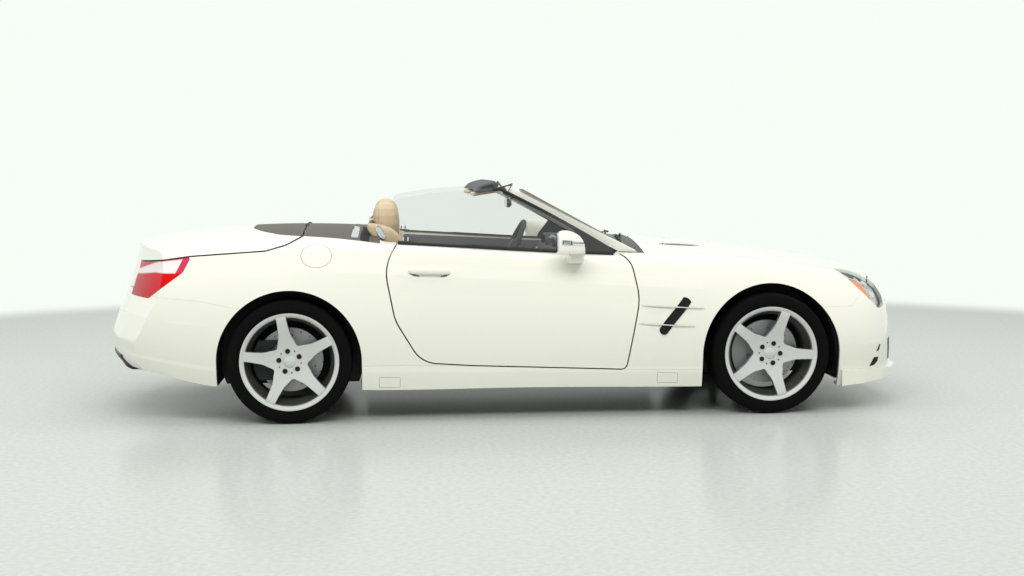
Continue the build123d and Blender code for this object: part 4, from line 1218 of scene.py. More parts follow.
def rowsAt(rows, steps):
    # rows of a table resampled evenly between neighbours
    out = []
    for a, b in zip(rows, rows[1:]):
        out += [tuple(p + (q - p) * k / steps for p, q in zip(a, b)) for k in range(steps)]
    return out + [rows[-1]]


def padRing(half, low, high, bolster, place, roundness=0.42, count=64):
    # one superelliptic ring; place turns (across, height) into a point
    ring = []
    mid, tall = (low + high) / 2, (high - low) / 2
    for a in turns(count):
        s = math.sin(a)
        y = half * power(math.cos(a), roundness)
        h = mid + tall * power(s, 0.62)
        if s > 0:
            u = min(1, max(0, (abs(y) - 0.125) / 0.075))
            h += bolster * u * u * (3 - 2 * u) * s ** 0.3
            h += 0.004 * math.cos(y / half * math.pi / 2)
        ring.append(place(y, h))
    return ring


def bake(obj):
    # object's mesh with its modifiers applied
    deps = bpy.context.evaluated_depsgraph_get()
    mesh = bpy.data.meshes.new_from_object(obj.evaluated_get(deps))
    obj.modifiers.clear()
    obj.data = mesh


def voxelSkin(obj, size):
    mod = obj.modifiers.new("voxels", "REMESH")
    mod.mode = "VOXEL"
    mod.voxel_size = size
    bake(obj)


def refine(obj):
    mod = obj.modifiers.new("finer", "SUBSURF")
    mod.levels = mod.render_levels = 1
    bake(obj)


def puff(pads):
    # swells the pads like filled covers
    starts = {}
    for obj in pads:
        starts[obj.name] = [v.co.copy() for v in obj.data.vertices]
        cloth = obj.modifiers.new("swell", "CLOTH")
        cloth.settings.quality = 4
        cloth.settings.use_pressure = True
        cloth.settings.uniform_pressure_force = seatLook["pressure"]
        cloth.settings.effector_weights.gravity = 0
    for step in range(1, 21):
        scene.frame_set(step)
    for obj in pads:
        bake(obj)
        for v, start in zip(obj.data.vertices, starts[obj.name]):
            move = v.co - start
            if move.length > seatLook["cap"]:
                v.co = start + move.normalized() * seatLook["cap"]
    scene.frame_set(1)


def sew(obj, gaps, width=seatLook["seamWidth"], depth=seatLook["seamDepth"]):
    # presses the cover in along its seams; gaps gives the distance to the nearest seam at a point
    normals = [v.normal.copy() for v in obj.data.vertices]
    for v, n in zip(obj.data.vertices, normals):
        d = gaps(v.co, n)
        if d is not None:
            v.co -= n * (depth * math.exp(-(d / width) ** 2))


def nearest(value, lines):
    return min(abs(value - line) for line in lines)


def flutedSeams(y, value, reach, first):
    # distance to the two long seams and, between them, to the cross seams
    s = seatLook["seamY"]
    d = nearest(y, (-s, s))
    if abs(y) < s and reach[0] < value < reach[1]:
        d = min(d, nearest(value, [first + seatLook["flutes"] * k for k in range(8)]))
    return d


def cushionSeams(p, n):
    if n.z < 0.25:
        return abs(p.z - 0.352) if abs(n.z) < 0.6 else None
    return flutedSeams(p.y, p.x, (-0.47, -0.05), -0.46)


def backSeams(p, n):
    if n.x < 0.2:
        return abs(p.x + 0.655) if abs(n.y) > 0.5 else None
    return flutedSeams(p.y, p.z, (0.42, 0.86), 0.43)


def headSeams(p, n):
    if abs(n.y) > 0.45 or n.z > 0.7:
        return abs(p.x + 0.748)
    return nearest(p.y, (-0.108, 0.108)) if n.x > 0.3 else None


def seatPads():
    look = seatLook
    foot = Vector(look["foot"])
    run = (Vector(look["head"]) - foot).normalized()
    ahead = Vector((run.z, 0, -run.x))
    cushion = [padRing(w, lo, hi, b, lambda y, h, x=x: (x, y, h))
               for x, w, lo, hi, b in rowsAt(look["cushion"], 4)]

    def onBack(s):
        return lambda y, h: tuple(foot + run * s + Vector((0, y, 0)) + ahead * h)

    back = [padRing(w, -behind, front, b, onBack(s)) for s, w, behind, front, b in rowsAt(look["back"], 4)]
    head = [padRing(w, -behind, front, 0, lambda y, h, x=x, z=z: (x + h, y, z), 0.55, 56)
            for z, w, behind, front, x in rowsAt(look["headrest"], 4)]
    pads = []
    for name, rings, voxel in (("seatCushion", cushion, look["voxel"]), ("seatBack", back, look["voxel"]),
                               ("headrest", head, look["headVoxel"])):
        pads.append(looseMesh(name, *closedForm(rings)))
        voxelSkin(pads[-1], voxel)
    puff(pads)
    for obj, seams in zip(pads, (cushionSeams, backSeams, headSeams)):
        refine(obj)
        sew(obj, seams)
    return pads


def outwardBlock(name, sign, low, high, bevel, mat, body, slot, segments=3, middle=0.0, **more):
    # block whose y is measured outwards from a place beside the car's middle
    y0, y1 = sorted((sign * (middle + low[1]), sign * (middle + high[1])))
    return roundedBlock(name, (low[0], y0, low[2]), (high[0], y1, high[2]), bevel, mat, body, slot,
                        segments, **more)


def buildSeats():
    pads = seatPads()
    for side, sign in sides.items():
        for obj in pads:
            mesh = obj.data.copy()
            for v in mesh.vertices:
                v.co.y = v.co.y * sign + sign * seatLook["y"]
            if sign < 0:
                mesh.flip_normals()
            pad = bpy.data.objects.new(f"{obj.name}_{side}", mesh)
            scene.collection.objects.link(pad)
            hides = [f"seat_{side}"] if obj.name == "seatCushion" else ()
            dress(pad, leather, "chassis", hides=hides)
        for name, low, high, bevel, mat, segments in seatBlocks:
            outwardBlock(f"{name}_{side}", sign, low, high, bevel, mat, "chassis", "leather", segments,
                         seatLook["y"])
        y = sign * seatLook["y"]
        for k, dy in enumerate((-0.17, 0.17)):
            roundedBlock(f"seatRail{k}_{side}", (-0.56, y + dy - 0.022, 0.190), (0.00, y + dy + 0.022, 0.218),
                         0.004, satinMetal, "chassis", "leather", 2)
        for k, dy in enumerate((-0.055, 0.055)):
            post = tube([(-0.678, y + dy, 0.90), (-0.672, y + dy, 0.985)], 0.0065, 14)
            piece(f"headPost{k}_{side}", *post, chrome, "chassis", "leather")
    for obj in pads:
        bpy.data.objects.remove(obj)


buildSeats()
print("stage: seats")


# hoops behind the seats, their padded covers
hoopLook = {
    "rear": -0.778, "front": -0.747, "top": 1.030, "foot": 0.902, "half": 0.150, "tube": 0.0165,
    # along, lower edge, upper edge, half width of a cover
    "cover": [(-0.803, 1.008, 1.030, 0.014), (-0.795, 0.988, 1.036, 0.026), (-0.772, 0.962, 1.036, 0.034),
              (-0.740, 0.940, 1.030, 0.037), (-0.705, 0.925, 1.022, 0.038), (-0.672, 0.915, 1.008, 0.036),
              (-0.640, 0.908, 0.982, 0.030), (-0.618, 0.905, 0.952, 0.020), (-0.606, 0.905, 0.928, 0.010)],
    "coverY": (-0.166, 0.166),
    "voxel": 0.0055,
    "eye": (-0.731, 0.992),     # middle of the bright oval on a cover
    "eyeHalf": (0.017, 0.039),
    "eyeLean": (0.90, 0.44),
    "eyeOut": 0.0395,
}


def coverSeam(p, n):
    return p.x + 0.712 + (p.z - 0.99) * 0.4 if abs(n.y) < 0.9 else None


def buildHoops():
    h = hoopLook
    corner = [(h["front"], -h["half"], h["foot"]), (h["front"] - 0.012, -h["half"], 0.95),
              (h["rear"], -h["half"] + 0.012, 1.005), (h["rear"], -h["half"] + 0.045, h["top"]),
              (h["rear"], 0, h["top"] + 0.004)]
    hoop = corner + [(x, -y, z) for x, y, z in reversed(corner[:-1])]
    for side, sign in sides.items():
        middle = sign * seatLook["y"]
        path = smoothPath([(x, middle + y, z) for x, y, z in hoop])
        piece(f"hoopLook_{side}", *tube(path, h["tube"], 20), leatherDark, "chassis", "chrome",
              hides=["roll_hoops"] if sign > 0 else ())
        for k, dy in enumerate(h["coverY"]):
            rings = [padRing(w, lo, hi, 0, lambda y, z, x=x: (x, middle + dy + y, z), 0.62, 40)
                     for x, lo, hi, w in rowsAt(h["cover"], 3)]
            cover = looseMesh(f"hoopCover{k}_{side}", *closedForm(rings))
            voxelSkin(cover, h["voxel"])
            refine(cover)
            sew(cover, coverSeam, 0.005, 0.003)
            dress(cover, leather, "chassis")
            face = middle + dy + math.copysign(h["eyeOut"], dy)
            x0, z0 = h["eye"]
            c, s = h["eyeLean"]
            spots = [(h["eyeHalf"][0] * math.cos(a), h["eyeHalf"][1] * math.sin(a)) for a in turns(48)]
            oval = [(u * c - v * s, u * s + v * c) for u, v in spots]
            ring = [(x0 + x, face, z0 + z) for x, z in oval]
            piece(f"hoopEye{k}_{side}", *tube(ring, 0.0042, 10, 0.9, True), chrome, "chassis", "chrome")
            faces = [[(x0 + x * 0.86, face + math.copysign(1, dy) * out, z0 + z * 0.86) for x, z in oval]
                     for out in (0.001, -0.004)]
            piece(f"hoopEyeFace{k}_{side}", *plate(*faces), satinMetal, "chassis", "chrome")


buildHoops()
print("stage: hoops")


# liners of the wheel arches
linerLook = {"front": 0.398, "rear": 0.388, "inner": 0.50, "bend": 0.70, "thick": 0.003, "steps": 56,
             "behindSkin": 0.012}
linerRims = {"front": 0.902, "rear": 0.900}


def buildLiner(end, side):
    look, sign, steps = linerLook, sides[side], linerLook["steps"]
    radius, inner = look[end], look["inner"]
    x, z = wheels[end]["x"], wheels[end]["z"]
    skins = {"front": [f"front_fender_{side}", "front_bumper", "sill_skirts"],
             "rear": [f"rear_quarter_{side}", "rear_bumper", "sill_skirts"]}[end]
    verts = []
    for k in range(steps + 1):
        a = math.radians(-18 + 216 * k / steps)
        rim = linerRims[end]
        for r in (radius, radius + look["behindSkin"]):
            p = sideHit(skins, x + r * math.cos(a), z + r * math.sin(a), sign)[0]
            if p is not None:
                rim = min(rim, abs(p.y) - look["behindSkin"])
        outer = radius + look["thick"]
        for y, r in ((inner, radius), (look["bend"], radius), (rim, radius), (rim, outer), (inner, outer)):
            ripple = 0.002 * math.sin(k * 1.1) if y < rim else 0
            verts.append((x + (r + ripple) * math.cos(a), sign * y, z + (r + ripple) * math.sin(a)))
    piece(f"archLiner_{end}_{side}", verts, ringFaces(steps + 1, 5), chassisBlack, "chassis", "chassis_black")


for end in wheels:
    for side in sides:
        buildLiner(end, side)
print("stage: liners")


# dashboard, steering wheel, console
wheelPlace = {"centre": (0.062, 0.374, 0.850), "tilt": 24, "ring": 0.172, "grip": 0.0155, "flatBelow": -0.152}
# outline of the three arms, and of the pad between them, on the wheel's face
armOutline = [(-0.150, 0.020), (-0.085, 0.030), (-0.062, 0.052), (-0.030, 0.070), (0.030, 0.070),
              (0.062, 0.052), (0.085, 0.030), (0.150, 0.020), (0.156, -0.010), (0.085, -0.024),
              (0.052, -0.050), (0.026, -0.100), (0.022, -0.148), (-0.022, -0.148), (-0.026, -0.100),
              (-0.052, -0.050), (-0.085, -0.024), (-0.156, -0.010)]
# scale and depth of the layers of both
armLayers = [(0.90, -0.020), (0.965, -0.016), (1.0, -0.006), (1.0, 0.010), (0.96, 0.018)]
padLayers = [(0.25, -0.030), (0.62, -0.029), (0.86, -0.024), (0.98, -0.014), (1.0, 0.0)]
padHalf = (0.068, 0.056)


def onWheel(u, v, w):
    # place across, up and behind the steering wheel's tilted face
    tilt = math.radians(wheelPlace["tilt"])
    axis = Vector((math.cos(tilt), 0, -math.sin(tilt)))
    up = Vector((math.sin(tilt), 0, math.cos(tilt)))
    return Vector(wheelPlace["centre"]) + Vector((0, 1, 0)) * u + up * v + axis * w


def buildSteering():
    w, body = wheelPlace, "steering_wheel"
    ring, radii = [], []
    for a in turns(96):
        u, v = w["ring"] * math.cos(a), w["ring"] * math.sin(a)
        if v < w["flatBelow"]:
            v = w["flatBelow"] + (v - w["flatBelow"]) * 0.35
        ring.append(onWheel(u, v, 0))
        thumb = math.exp(-((abs(math.degrees(a) % 180 - 90) - 62) / 9) ** 2)
        radii.append(w["grip"] * (1 + 0.14 * thumb))
    piece("wheelRing", *tube(ring, radii, 18, 1.0, True), leatherDark, body, "dash", hides=[body])
    outline = smoothPath([(x, y, 0) for x, y in armOutline + armOutline[:1]], 5)[:-1]
    verts = [onWheel(p.x * scale, p.y * scale, depth + 0.016) for scale, depth in armLayers for p in outline]
    rows, n = len(armLayers), len(outline)
    piece("wheelArms", verts, ringFaces(rows, n) + endFaces(rows, n), dashSkin, body, "dash", 40)
    pad = [[onWheel(padHalf[0] * scale * u, padHalf[1] * scale * v, depth + 0.004)
            for u, v in (squareRing(a, 0.7, 0.7, 0.7) for a in turns(48))] for scale, depth in padLayers]
    piece("wheelPad", *closedForm(pad), leatherDark, body, "dash")
    for k, sign in enumerate((-1, 1)):
        bar = [onWheel(sign * (0.060 + 0.088 * i / 12), 0.004 - 0.010 * i / 12, -0.0075) for i in range(13)]
        radii = [0.004 + 0.006 * math.sin(math.pi * i / 12) for i in range(13)]
        piece(f"wheelTrim{k}", *tube(bar, radii, 12, 0.7), satinMetal, body, "chrome")
    bar = [onWheel(0, -0.060 - 0.085 * i / 10, -0.006 + 0.006 * i / 10) for i in range(11)]
    radii = [0.007 + 0.008 * (1 - i / 10) for i in range(11)]
    piece("wheelTrimLow", *tube(bar, radii, 12, 0.5), satinMetal, body, "chrome")
    shaft = [onWheel(0, 0, t) for t in (0.010, 0.06, 0.148)]
    piece("wheelShaft", *tube(shaft, 0.0175, 20), blackTrim, body, "dash")
    # stalks and column cover stay with the dashboard
    cover = [onWheel(0, -0.006, t) for t in (0.055, 0.075, 0.15, 0.24)]
    piece("columnCover", *tube(cover, [0.036, 0.052, 0.054, 0.056], 28, 0.85), dashSkin, "chassis", "dash")
    for k, sign in enumerate((-1, 1)):
        bend = ((0.045, 0.004, 0.082), (0.095, 0.012, 0.078), (0.140, 0.018, 0.066))
        stalk = smoothPath([onWheel(sign * u, v, depth) for u, v, depth in bend], 5)
        radii = [0.0065] * (len(stalk) - 4) + [0.0075, 0.0085, 0.0085, 0.006]
        piece(f"stalk{k}", *tube(stalk, radii, 12, 0.7), blackTrim, "chassis", "dash")


dashLook = {
    "vents": {"ventFarLeft": (0.602, 0.800, 0.040), "ventFarRight": (-0.602, 0.800, 0.040),     # y, z, radius
              "ventMidLeft": (0.075, 0.800, 0.036), "ventMidRight": (-0.075, 0.800, 0.036)},
    "ventWay": (-1, 0, 0.12),
    # bright band along the dash face and a piping below it: z, width, lift, material
    "bands": {"dashBand": (0.742, 0.030, 0.004, satinMetal), "dashPiping": (0.716, 0.006, 0.003, leather)},
    "bandY": {"Left": (0.66, 0.135), "Right": (-0.135, -0.66)},
    "pad": (-0.12, -0.54, 25, 0.705, -0.125, 9),        # y, run, count, z, run, count
    "screenLean": -12,
    "dialY": 0.374,
    # x, half width, top and foot of the hood over the dials
    "hood": [(0.248, 0.150, 0.940, 0.872), (0.30, 0.160, 0.944, 0.868), (0.38, 0.165, 0.936, 0.872),
             (0.44, 0.150, 0.915, 0.880)],
}


def dashHit(y, z):
    return endHit(["dashboard"], y, z, -1)


def buildVent(name, y, z, r):
    out = Vector(dashLook["ventWay"]).normalized()
    turn = Vector((0, 1, 0)).rotation_difference(out).to_matrix()
    base = dashHit(y, z)[0] - out * 0.006
    ring = [(r, 0.002), (r * 1.10, 0.012), (r * 1.04, 0.018), (r * 0.90, 0.016), (r * 0.86, 0.008),
            (r * 0.88, 0.0)]
    cup = [(0.0001, 0.001), (r * 0.5, 0.002), (r * 0.87, 0.012), (r * 0.87, 0.0), (0.0001, -0.002)]
    for part, profile, mat in (("Ring", ring, satinMetal), ("Cup", cup, holeShadeBlack)):
        verts, faces = lathe(profile, 48)
        piece(f"{name}{part}", [turn @ Vector(v) + base for v in verts], faces, mat, "chassis", "dash")
    side, up = turn @ Vector((1, 0, 0)), turn @ Vector((0, 0, 1))
    vanes = []
    for k in range(4):
        way = (side * math.cos(math.pi * k / 4) + up * math.sin(math.pi * k / 4)) * r * 0.86
        bar = [base + out * 0.012 - way, base + out * 0.014, base + out * 0.012 + way]
        vanes.append(tube(bar, 0.0018, 8))
    vanes.append(tube([base + out * 0.010, base + out * 0.017], [0.009, 0.007], 20))
    piece(f"{name}Vanes", *joined(*vanes), satinMetal, "chassis", "dash")


def buildDashPads():
    # beige lower pad, mirrored from the passenger's side
    y0, runY, cols, z0, runZ, rows = dashLook["pad"]
    sheet = []
    for k in range(rows):
        for i in range(cols):
            edge = min(k, rows - 1 - k, i, cols - 1 - i)
            p = dashHit(y0 + runY * i / (cols - 1), z0 + runZ * k / (rows - 1))[0]
            sheet.append(p + Vector((-1, 0, -0.3)).normalized() * (0.004 + 0.012 * min(1, edge / 2)))
    for name, way in (("Right", 1), ("Left", -1)):
        pad = piece(f"dashPad{name}", [(q.x, way * q.y, q.z) for q in sheet], gridFaces(rows, cols),
                    leather, "chassis", "leather")
        thicken(pad, 0.012)


def buildDials():
    y0, n = dashLook["dialY"], 33
    arc = [math.pi * k / (n - 1) for k in range(n)]
    verts = [(x, y0 - w * power(math.cos(a), 0.7), base + (top - base) * math.sin(a) ** 0.8)
             for x, w, top, base in dashLook["hood"] for a in arc]
    hood = piece("dialHood", verts, gridFaces(len(dashLook["hood"]), n), leatherDark, "chassis", "dash")
    thicken(hood, 0.010)
    hood.modifiers.new("soft", "SUBSURF").render_levels = 1
    faces = [[(x, y0 - 0.140 * math.cos(a), 0.872 + 0.056 * math.sin(a)) for a in arc]
             for x in (0.285, 0.291)]
    piece("dialFace", *plate(*faces), holeShadeBlack, "chassis", "dash")
    for k, dy in enumerate((-0.068, 0.068)):
        ring = [(0.2835, y0 + dy + 0.040 * math.cos(a), 0.890 + 0.034 * math.sin(a)) for a in turns(40)]
        piece(f"dialRing{k}", *tube(ring, 0.0022, 8, 1.0, True), chrome, "chassis", "chrome")


def buildDash():
    for name, place in dashLook["vents"].items():
        buildVent(name, *place)
    for name, (z, wide, lift, mat) in dashLook["bands"].items():
        for part, (y0, y1) in dashLook["bandY"].items():
            hits = [dashHit(y0 + (y1 - y0) * k / 40, z) for k in range(41)]
            piece(f"{name}{part}", *strip(hits, wide, lift), mat, "chassis", "dash")
    buildDashPads()
    lean = Matrix.Rotation(math.radians(dashLook["screenLean"]), 4, "Y")
    roundedBlock("screenBody", (0.262, -0.098, 0.868), (0.282, 0.098, 0.936), 0.006, glossBlack, "chassis",
                 "dash", turn=lean)
    roundedBlock("screenFrame", (0.276, -0.103, 0.862), (0.290, 0.103, 0.941), 0.005, satinMetal,
                 "chassis", "chrome", turn=lean)
    buildDials()


# lathe profiles of the shift lever and the turning knob, (radius, height)
consoleLook = {
    "boot": [(0.0001, 0.052), (0.010, 0.050), (0.016, 0.034), (0.028, 0.012), (0.034, 0.0), (0.034, -0.004),
             (0.0001, -0.004)],
    "knob": [(0.0001, 0.040), (0.010, 0.039), (0.018, 0.032), (0.021, 0.018), (0.017, 0.004), (0.009, -0.006),
             (0.007, -0.014), (0.0001, -0.014)],
    "dial": [(0.0001, 0.020), (0.018, 0.0195), (0.021, 0.016), (0.022, 0.0), (0.0001, 0.0)],
    # along, half width, low and high above the console, bolster
    "armrest": [(-0.52, 0.060, -0.004, 0.010, 0), (-0.50, 0.088, -0.012, 0.022, 0),
                (-0.34, 0.092, -0.012, 0.026, 0), (-0.18, 0.088, -0.012, 0.022, 0),
                (-0.165, 0.060, -0.004, 0.010, 0)],
}


def consoleHit(x, y):
    return topHit(["centre_console"], x, y)


def buildConsole():
    c = consoleLook
    hits = [consoleHit(-0.02 + 0.20 * k / 14, 0.0) for k in range(15)]
    piece("consolePlate", *strip(hits, 0.150, 0.004), glossBlack, "chassis", "dash")
    rims = [consoleHit(0.08 + 0.118 * math.cos(a), 0.079 * math.sin(a)) for a in turns(40)]
    rim = tube([p + n * 0.003 for p, n in rims if p is not None], 0.0028, 8, 0.7, True)
    piece("consoleRim", *rim, satinMetal, "chassis", "chrome")
    base, dial = consoleHit(0.07, 0.03)[0], consoleHit(-0.03, 0.0)[0]
    piece("shiftBoot", *standing(c["boot"], 28, base.x, base.y, base.z + 0.003), leatherDark, "chassis",
          "dash")
    piece("shiftKnob", *standing(c["knob"], 32, base.x - 0.006, base.y, base.z + 0.058), satinMetal,
          "chassis", "chrome")
    piece("turnKnob", *standing(c["dial"], 40, dial.x - 0.02, dial.y, dial.z), satinMetal, "chassis",
          "chrome")
    rings = []
    for x, w, lo, hi, b in rowsAt(c["armrest"], 5):
        top = consoleHit(x, 0.0)[0].z
        rings.append(padRing(w, lo, hi, b, lambda y, h, x=x, z=top: (x, y, z + h), 0.35, 48))
    arm = looseMesh("armrest", *closedForm(rings))
    voxelSkin(arm, 0.007)
    refine(arm)
    dress(arm, leather, "chassis")


buildSteering()
buildDash()
buildConsole()
print("stage: dashboard")


# door trims, carpets, visors
doorLook = {
    "face": 0.7405, "rear": -0.600, "front": 0.430, "low": 0.330, "belt": 0.893, "beltSlope": -0.052,
    "cols": 37, "rows": 25, "darkAbove": 0.775,
    # pull handle, x, y, z
    "pull": [(-0.05, 0.722, 0.735), (-0.03, 0.694, 0.742), (0.07, 0.690, 0.748), (0.17, 0.694, 0.752),
             (0.19, 0.722, 0.752)],
    "guides": {"A": -0.612, "B": -0.588},
    "speaker": (0.285, 0.42),
}


def trimSwell(x, z):
    # arm rest, map pocket and top roll of the door's inner face
    pocket = 1 if x > -0.45 else 0.4
    return (0.012 + 0.030 * math.exp(-((z - 0.60 - 0.04 * x) / 0.045) ** 2)
            + 0.018 * math.exp(-((z - 0.40) / 0.07) ** 2) * pocket
            + 0.010 * math.exp(-((z - 0.84) / 0.03) ** 2))


def buildDoorTrim(side):
    d, sign, body = doorLook, sides[side], f"door_{side}"
    cols, rows = d["cols"], d["rows"]
    verts = []
    for i in range(cols):
        x = d["rear"] + (d["front"] - d["rear"]) * i / (cols - 1)
        for k in range(rows):
            z = d["low"] + (d["belt"] + d["beltSlope"] * x - d["low"]) * k / (rows - 1)
            edge = min(i, cols - 1 - i, k, rows - 1 - k)
            verts.append((x, sign * (d["face"] - trimSwell(x, z) * min(1, 0.25 + edge * 0.35)), z))
    trim = piece(f"doorTrim_{side}", verts, gridFaces(cols, rows), [leather, doorUpper], body, "leather")
    for poly in trim.data.polygons:
        if poly.center.z > d["darkAbove"]:
            poly.material_index = 1
    thicken(trim, 0.010, 1)
    soft = trim.modifiers.new("soft", "SUBSURF")
    soft.levels = soft.render_levels = 1
    cap = [topHit([body], -0.590 + 1.06 * k / 40, sign * 0.7485) for k in range(41)]
    piece(f"doorCap_{side}", *strip(cap, 0.022, 0.0035), leatherDark, body, "black_trim")
    for tag, x in d["guides"].items():
        bar = [(x, sign * 0.757, 0.930), (x + 0.001, sign * 0.756, 0.950), (x + 0.003, sign * 0.755, 0.972)]
        piece(f"glassGuide{tag}_{side}", *tube(bar, 0.0045, 10, 0.6), satinMetal, body, "chrome")
    outwardBlock(f"doorRest_{side}", sign, (-0.42, 0.672, 0.598), (0.12, d["face"] - 0.02, 0.646), 0.020,
                 leather, body, "leather", 6, fill=0.8)
    pull = smoothPath([(x, sign * y, z) for x, y, z in d["pull"]], 6)
    piece(f"doorPull_{side}", *tube(pull, 0.0085, 14, 0.8), satinMetal, body, "chrome")
    band = [(-0.56 + 0.95 * k / 20, sign * 0.727, 0.775) for k in range(21)]
    radii = [0.003] + [0.009] * 19 + [0.003]
    piece(f"doorBand_{side}", *tube(band, radii, 10, 0.5), satinMetal, body, "chrome")
    x0, z0 = d["speaker"]

    def circle(r, y):
        return [(x0 + r * math.cos(a), sign * y, z0 + r * math.sin(a)) for a in turns(48)]

    piece(f"speakerRing_{side}", *tube(circle(0.075, 0.7125), 0.0032, 8, 1.0, True), satinMetal, body,
          "chrome")
    piece(f"speakerFace_{side}", *plate(circle(0.073, 0.7135), circle(0.073, 0.7165)), speakerMesh, body,
          "dash")


headerLook = {
    # side view of the windscreen header's rear trim, (x, z)
    "outline": [(-0.226, 1.214), (-0.214, 1.226), (-0.196, 1.243), (-0.160, 1.257), (-0.122, 1.2655),
                (-0.108, 1.2655), (-0.102, 1.256), (-0.100, 1.226), (-0.104, 1.213), (-0.150, 1.209),
                (-0.205, 1.208)],
    "half": 0.640, "rows": 41, "x": -0.150, "z": 1.222, "bow": 0.040 * 0.6, "taper": 0.30, "taperFrom": 0.93,
}


def buildHeader():
    h = headerLook
    n, rows = len(h["outline"]), h["rows"]
    verts = []
    for t in [-1 + 2 * k / (rows - 1) for k in range(rows)]:
        end = 1 - h["taper"] * max(0, (abs(t) - h["taperFrom"]) / (1 - h["taperFrom"])) ** 2
        for x, z in h["outline"]:
            bowed = h["x"] + (x - h["x"]) * end + (1 - t * t) * h["bow"]
            verts.append((bowed, h["half"] * t, h["z"] + (z - h["z"]) * end))
    piece("headerTrim", verts, ringFaces(rows, n) + endFaces(rows, n), leatherDark, "chassis",
          "black_trim", 50)


# name, x from and to, z from and to, gap at the right and the left edge, bevel
carpets = [
    ("floorCarpet", -0.730, 0.628, 0.1885, 0.1985, 0, 0, 0.004),
    ("footMat", 0.02, 0.44, 0.199, 0.206, 0.05, 0.08, 0.003),
    ("toeBoard", 0.600, 0.634, 0.20, 0.52, 0, 0.02, 0.010),
]
footwell = (0.112, 0.718)
visorLean = -9
roomMirrorRings = [(-0.004, 0.100, 0.026), (0.006, 0.112, 0.032), (0.020, 0.104, 0.028),
                   (0.028, 0.080, 0.018)]


def buildCabinTrim():
    for side, sign in sides.items():
        buildDoorTrim(side)
        right, left = sorted(sign * y for y in footwell)
        for name, x0, x1, z0, z1, gapRight, gapLeft, bevel in carpets:
            roundedBlock(f"{name}_{side}", (x0, right + gapRight, z0), (x1, left - gapLeft, z1), bevel,
                         carpet, "chassis", "leather", 3)
        # sun visor folded up against the header
        turn = Matrix.Rotation(math.radians(visorLean), 4, "Y")
        outwardBlock(f"visor_{side}", sign, (-0.225, 0.180, 1.196), (-0.075, 0.545, 1.212), 0.0075,
                     leather, "chassis", "leather", 4, turn=turn)
    roundedBlock("bulkheadTrim", (-0.7445, -0.715, 0.20), (-0.7385, 0.715, 0.895), 0.003, carpet,
                 "chassis", "leather", 3)
    # mirror on the header's middle
    stem = smoothPath([(0.060, 0, 1.196), (0.035, 0, 1.170), (0.018, 0, 1.150)], 5)
    piece("roomMirrorStem", *tube(stem, 0.009, 14), blackTrim, "chassis", "black_trim")
    rings = [[(x - 0.002, w * u, 1.138 + h * v) for u, v in (squareRing(a, 0.6, 0.6, 0.7) for a in turns(48))]
             for x, w, h in roomMirrorRings]
    piece("roomMirror", *closedForm(rings), glossBlack, "chassis", "black_trim")
    buildHeader()


buildCabinTrim()
print("stage: cabin trim")


# outside fittings
exhaustLook = {
    # along and share of the full section, from the pipe to its rolled edge and back inside
    "mouth": [(-1.87, 0.86), (-2.010, 1.0), (-2.048, 1.0), (-2.054, 1.04), (-2.057, 1.02), (-2.054, 0.94),
              (-2.030, 0.90), (-1.94, 0.86)],
    "y": 0.540, "z": 0.300, "half": (0.058, 0.027),
    "silencer": ((-1.895, -0.600, 0.232), (-1.665, 0.600, 0.368)),
}
diffuserLook = {"half": 0.60, "top": 0.350, "tall": 0.088, "rows": 9, "cols": 61,
                "fins": (-0.30, -0.15, 0.0, 0.15, 0.30)}
tailLimit = -1.9                # hits ahead of this don't belong to the tail
grilleBarLook = {"y": 0.33, "gap": 0.020, "width": 0.012, "lift": 0.008}
sideLook = {
    "cornerSlot0": [(1.990, 0.324), (2.010, 0.362), (2.021, 0.362), (2.009, 0.328)],
    "cornerSlot1": [(1.945, 0.243), (1.974, 0.293), (2.007, 0.293), (2.004, 0.268), (1.980, 0.248)],
    "deckSlot": [(-0.842, 0.952), (-0.792, 0.948), (-0.788, 1.000), (-0.836, 1.006)],
    "deckStrip": [(-0.889, 0.968), (-0.852, 0.966), (-0.846, 1.010), (-0.884, 1.014)],
    "jackX": (-0.690, 0.800),
    "jackCorners": [(-0.055, 0.238), (0.055, 0.235), (0.055, 0.180), (-0.055, 0.182)],
    "pillarFrom": (0.554, 0.912),       # x, z of the inner face's foot
    "pillarRun": (-0.621, 0.342),
}


def tailX(y, z, otherwise):
    p = endHit(["rear_bumper", "boot_lid"], y, z, -1)[0]
    return p.x if p is not None and p.x < tailLimit else otherwise


def buildExhaust():
    # the silencer, its ribs and both mouths in place of the plain pipe
    e = exhaustLook
    roundedBlock("silencer", *e["silencer"], 0.045, steel, "chassis", "steel", 6, ["exhaust"])
    for tag, sign in (("right", -1), ("left", 1)):
        rings = [[(x, sign * e["y"] + u * e["half"][0] * share, e["z"] + v * e["half"][1] * share)
                  for u, v in (squareRing(a, 0.55, 0.55) for a in turns(40))] for x, share in e["mouth"]]
        piece(f"tailPipe_{tag}", *closedForm(rings), chrome, "chassis", "chrome", 50)
        for k, x in enumerate((-1.86, -1.78, -1.70)):
            roundedBlock(f"silencerRib{k}_{tag}", (x, sign * 0.3 - 0.27, 0.2285),
                         (x + 0.014, sign * 0.3 + 0.27, 0.236), 0.003, steel, "chassis", "steel", 3)



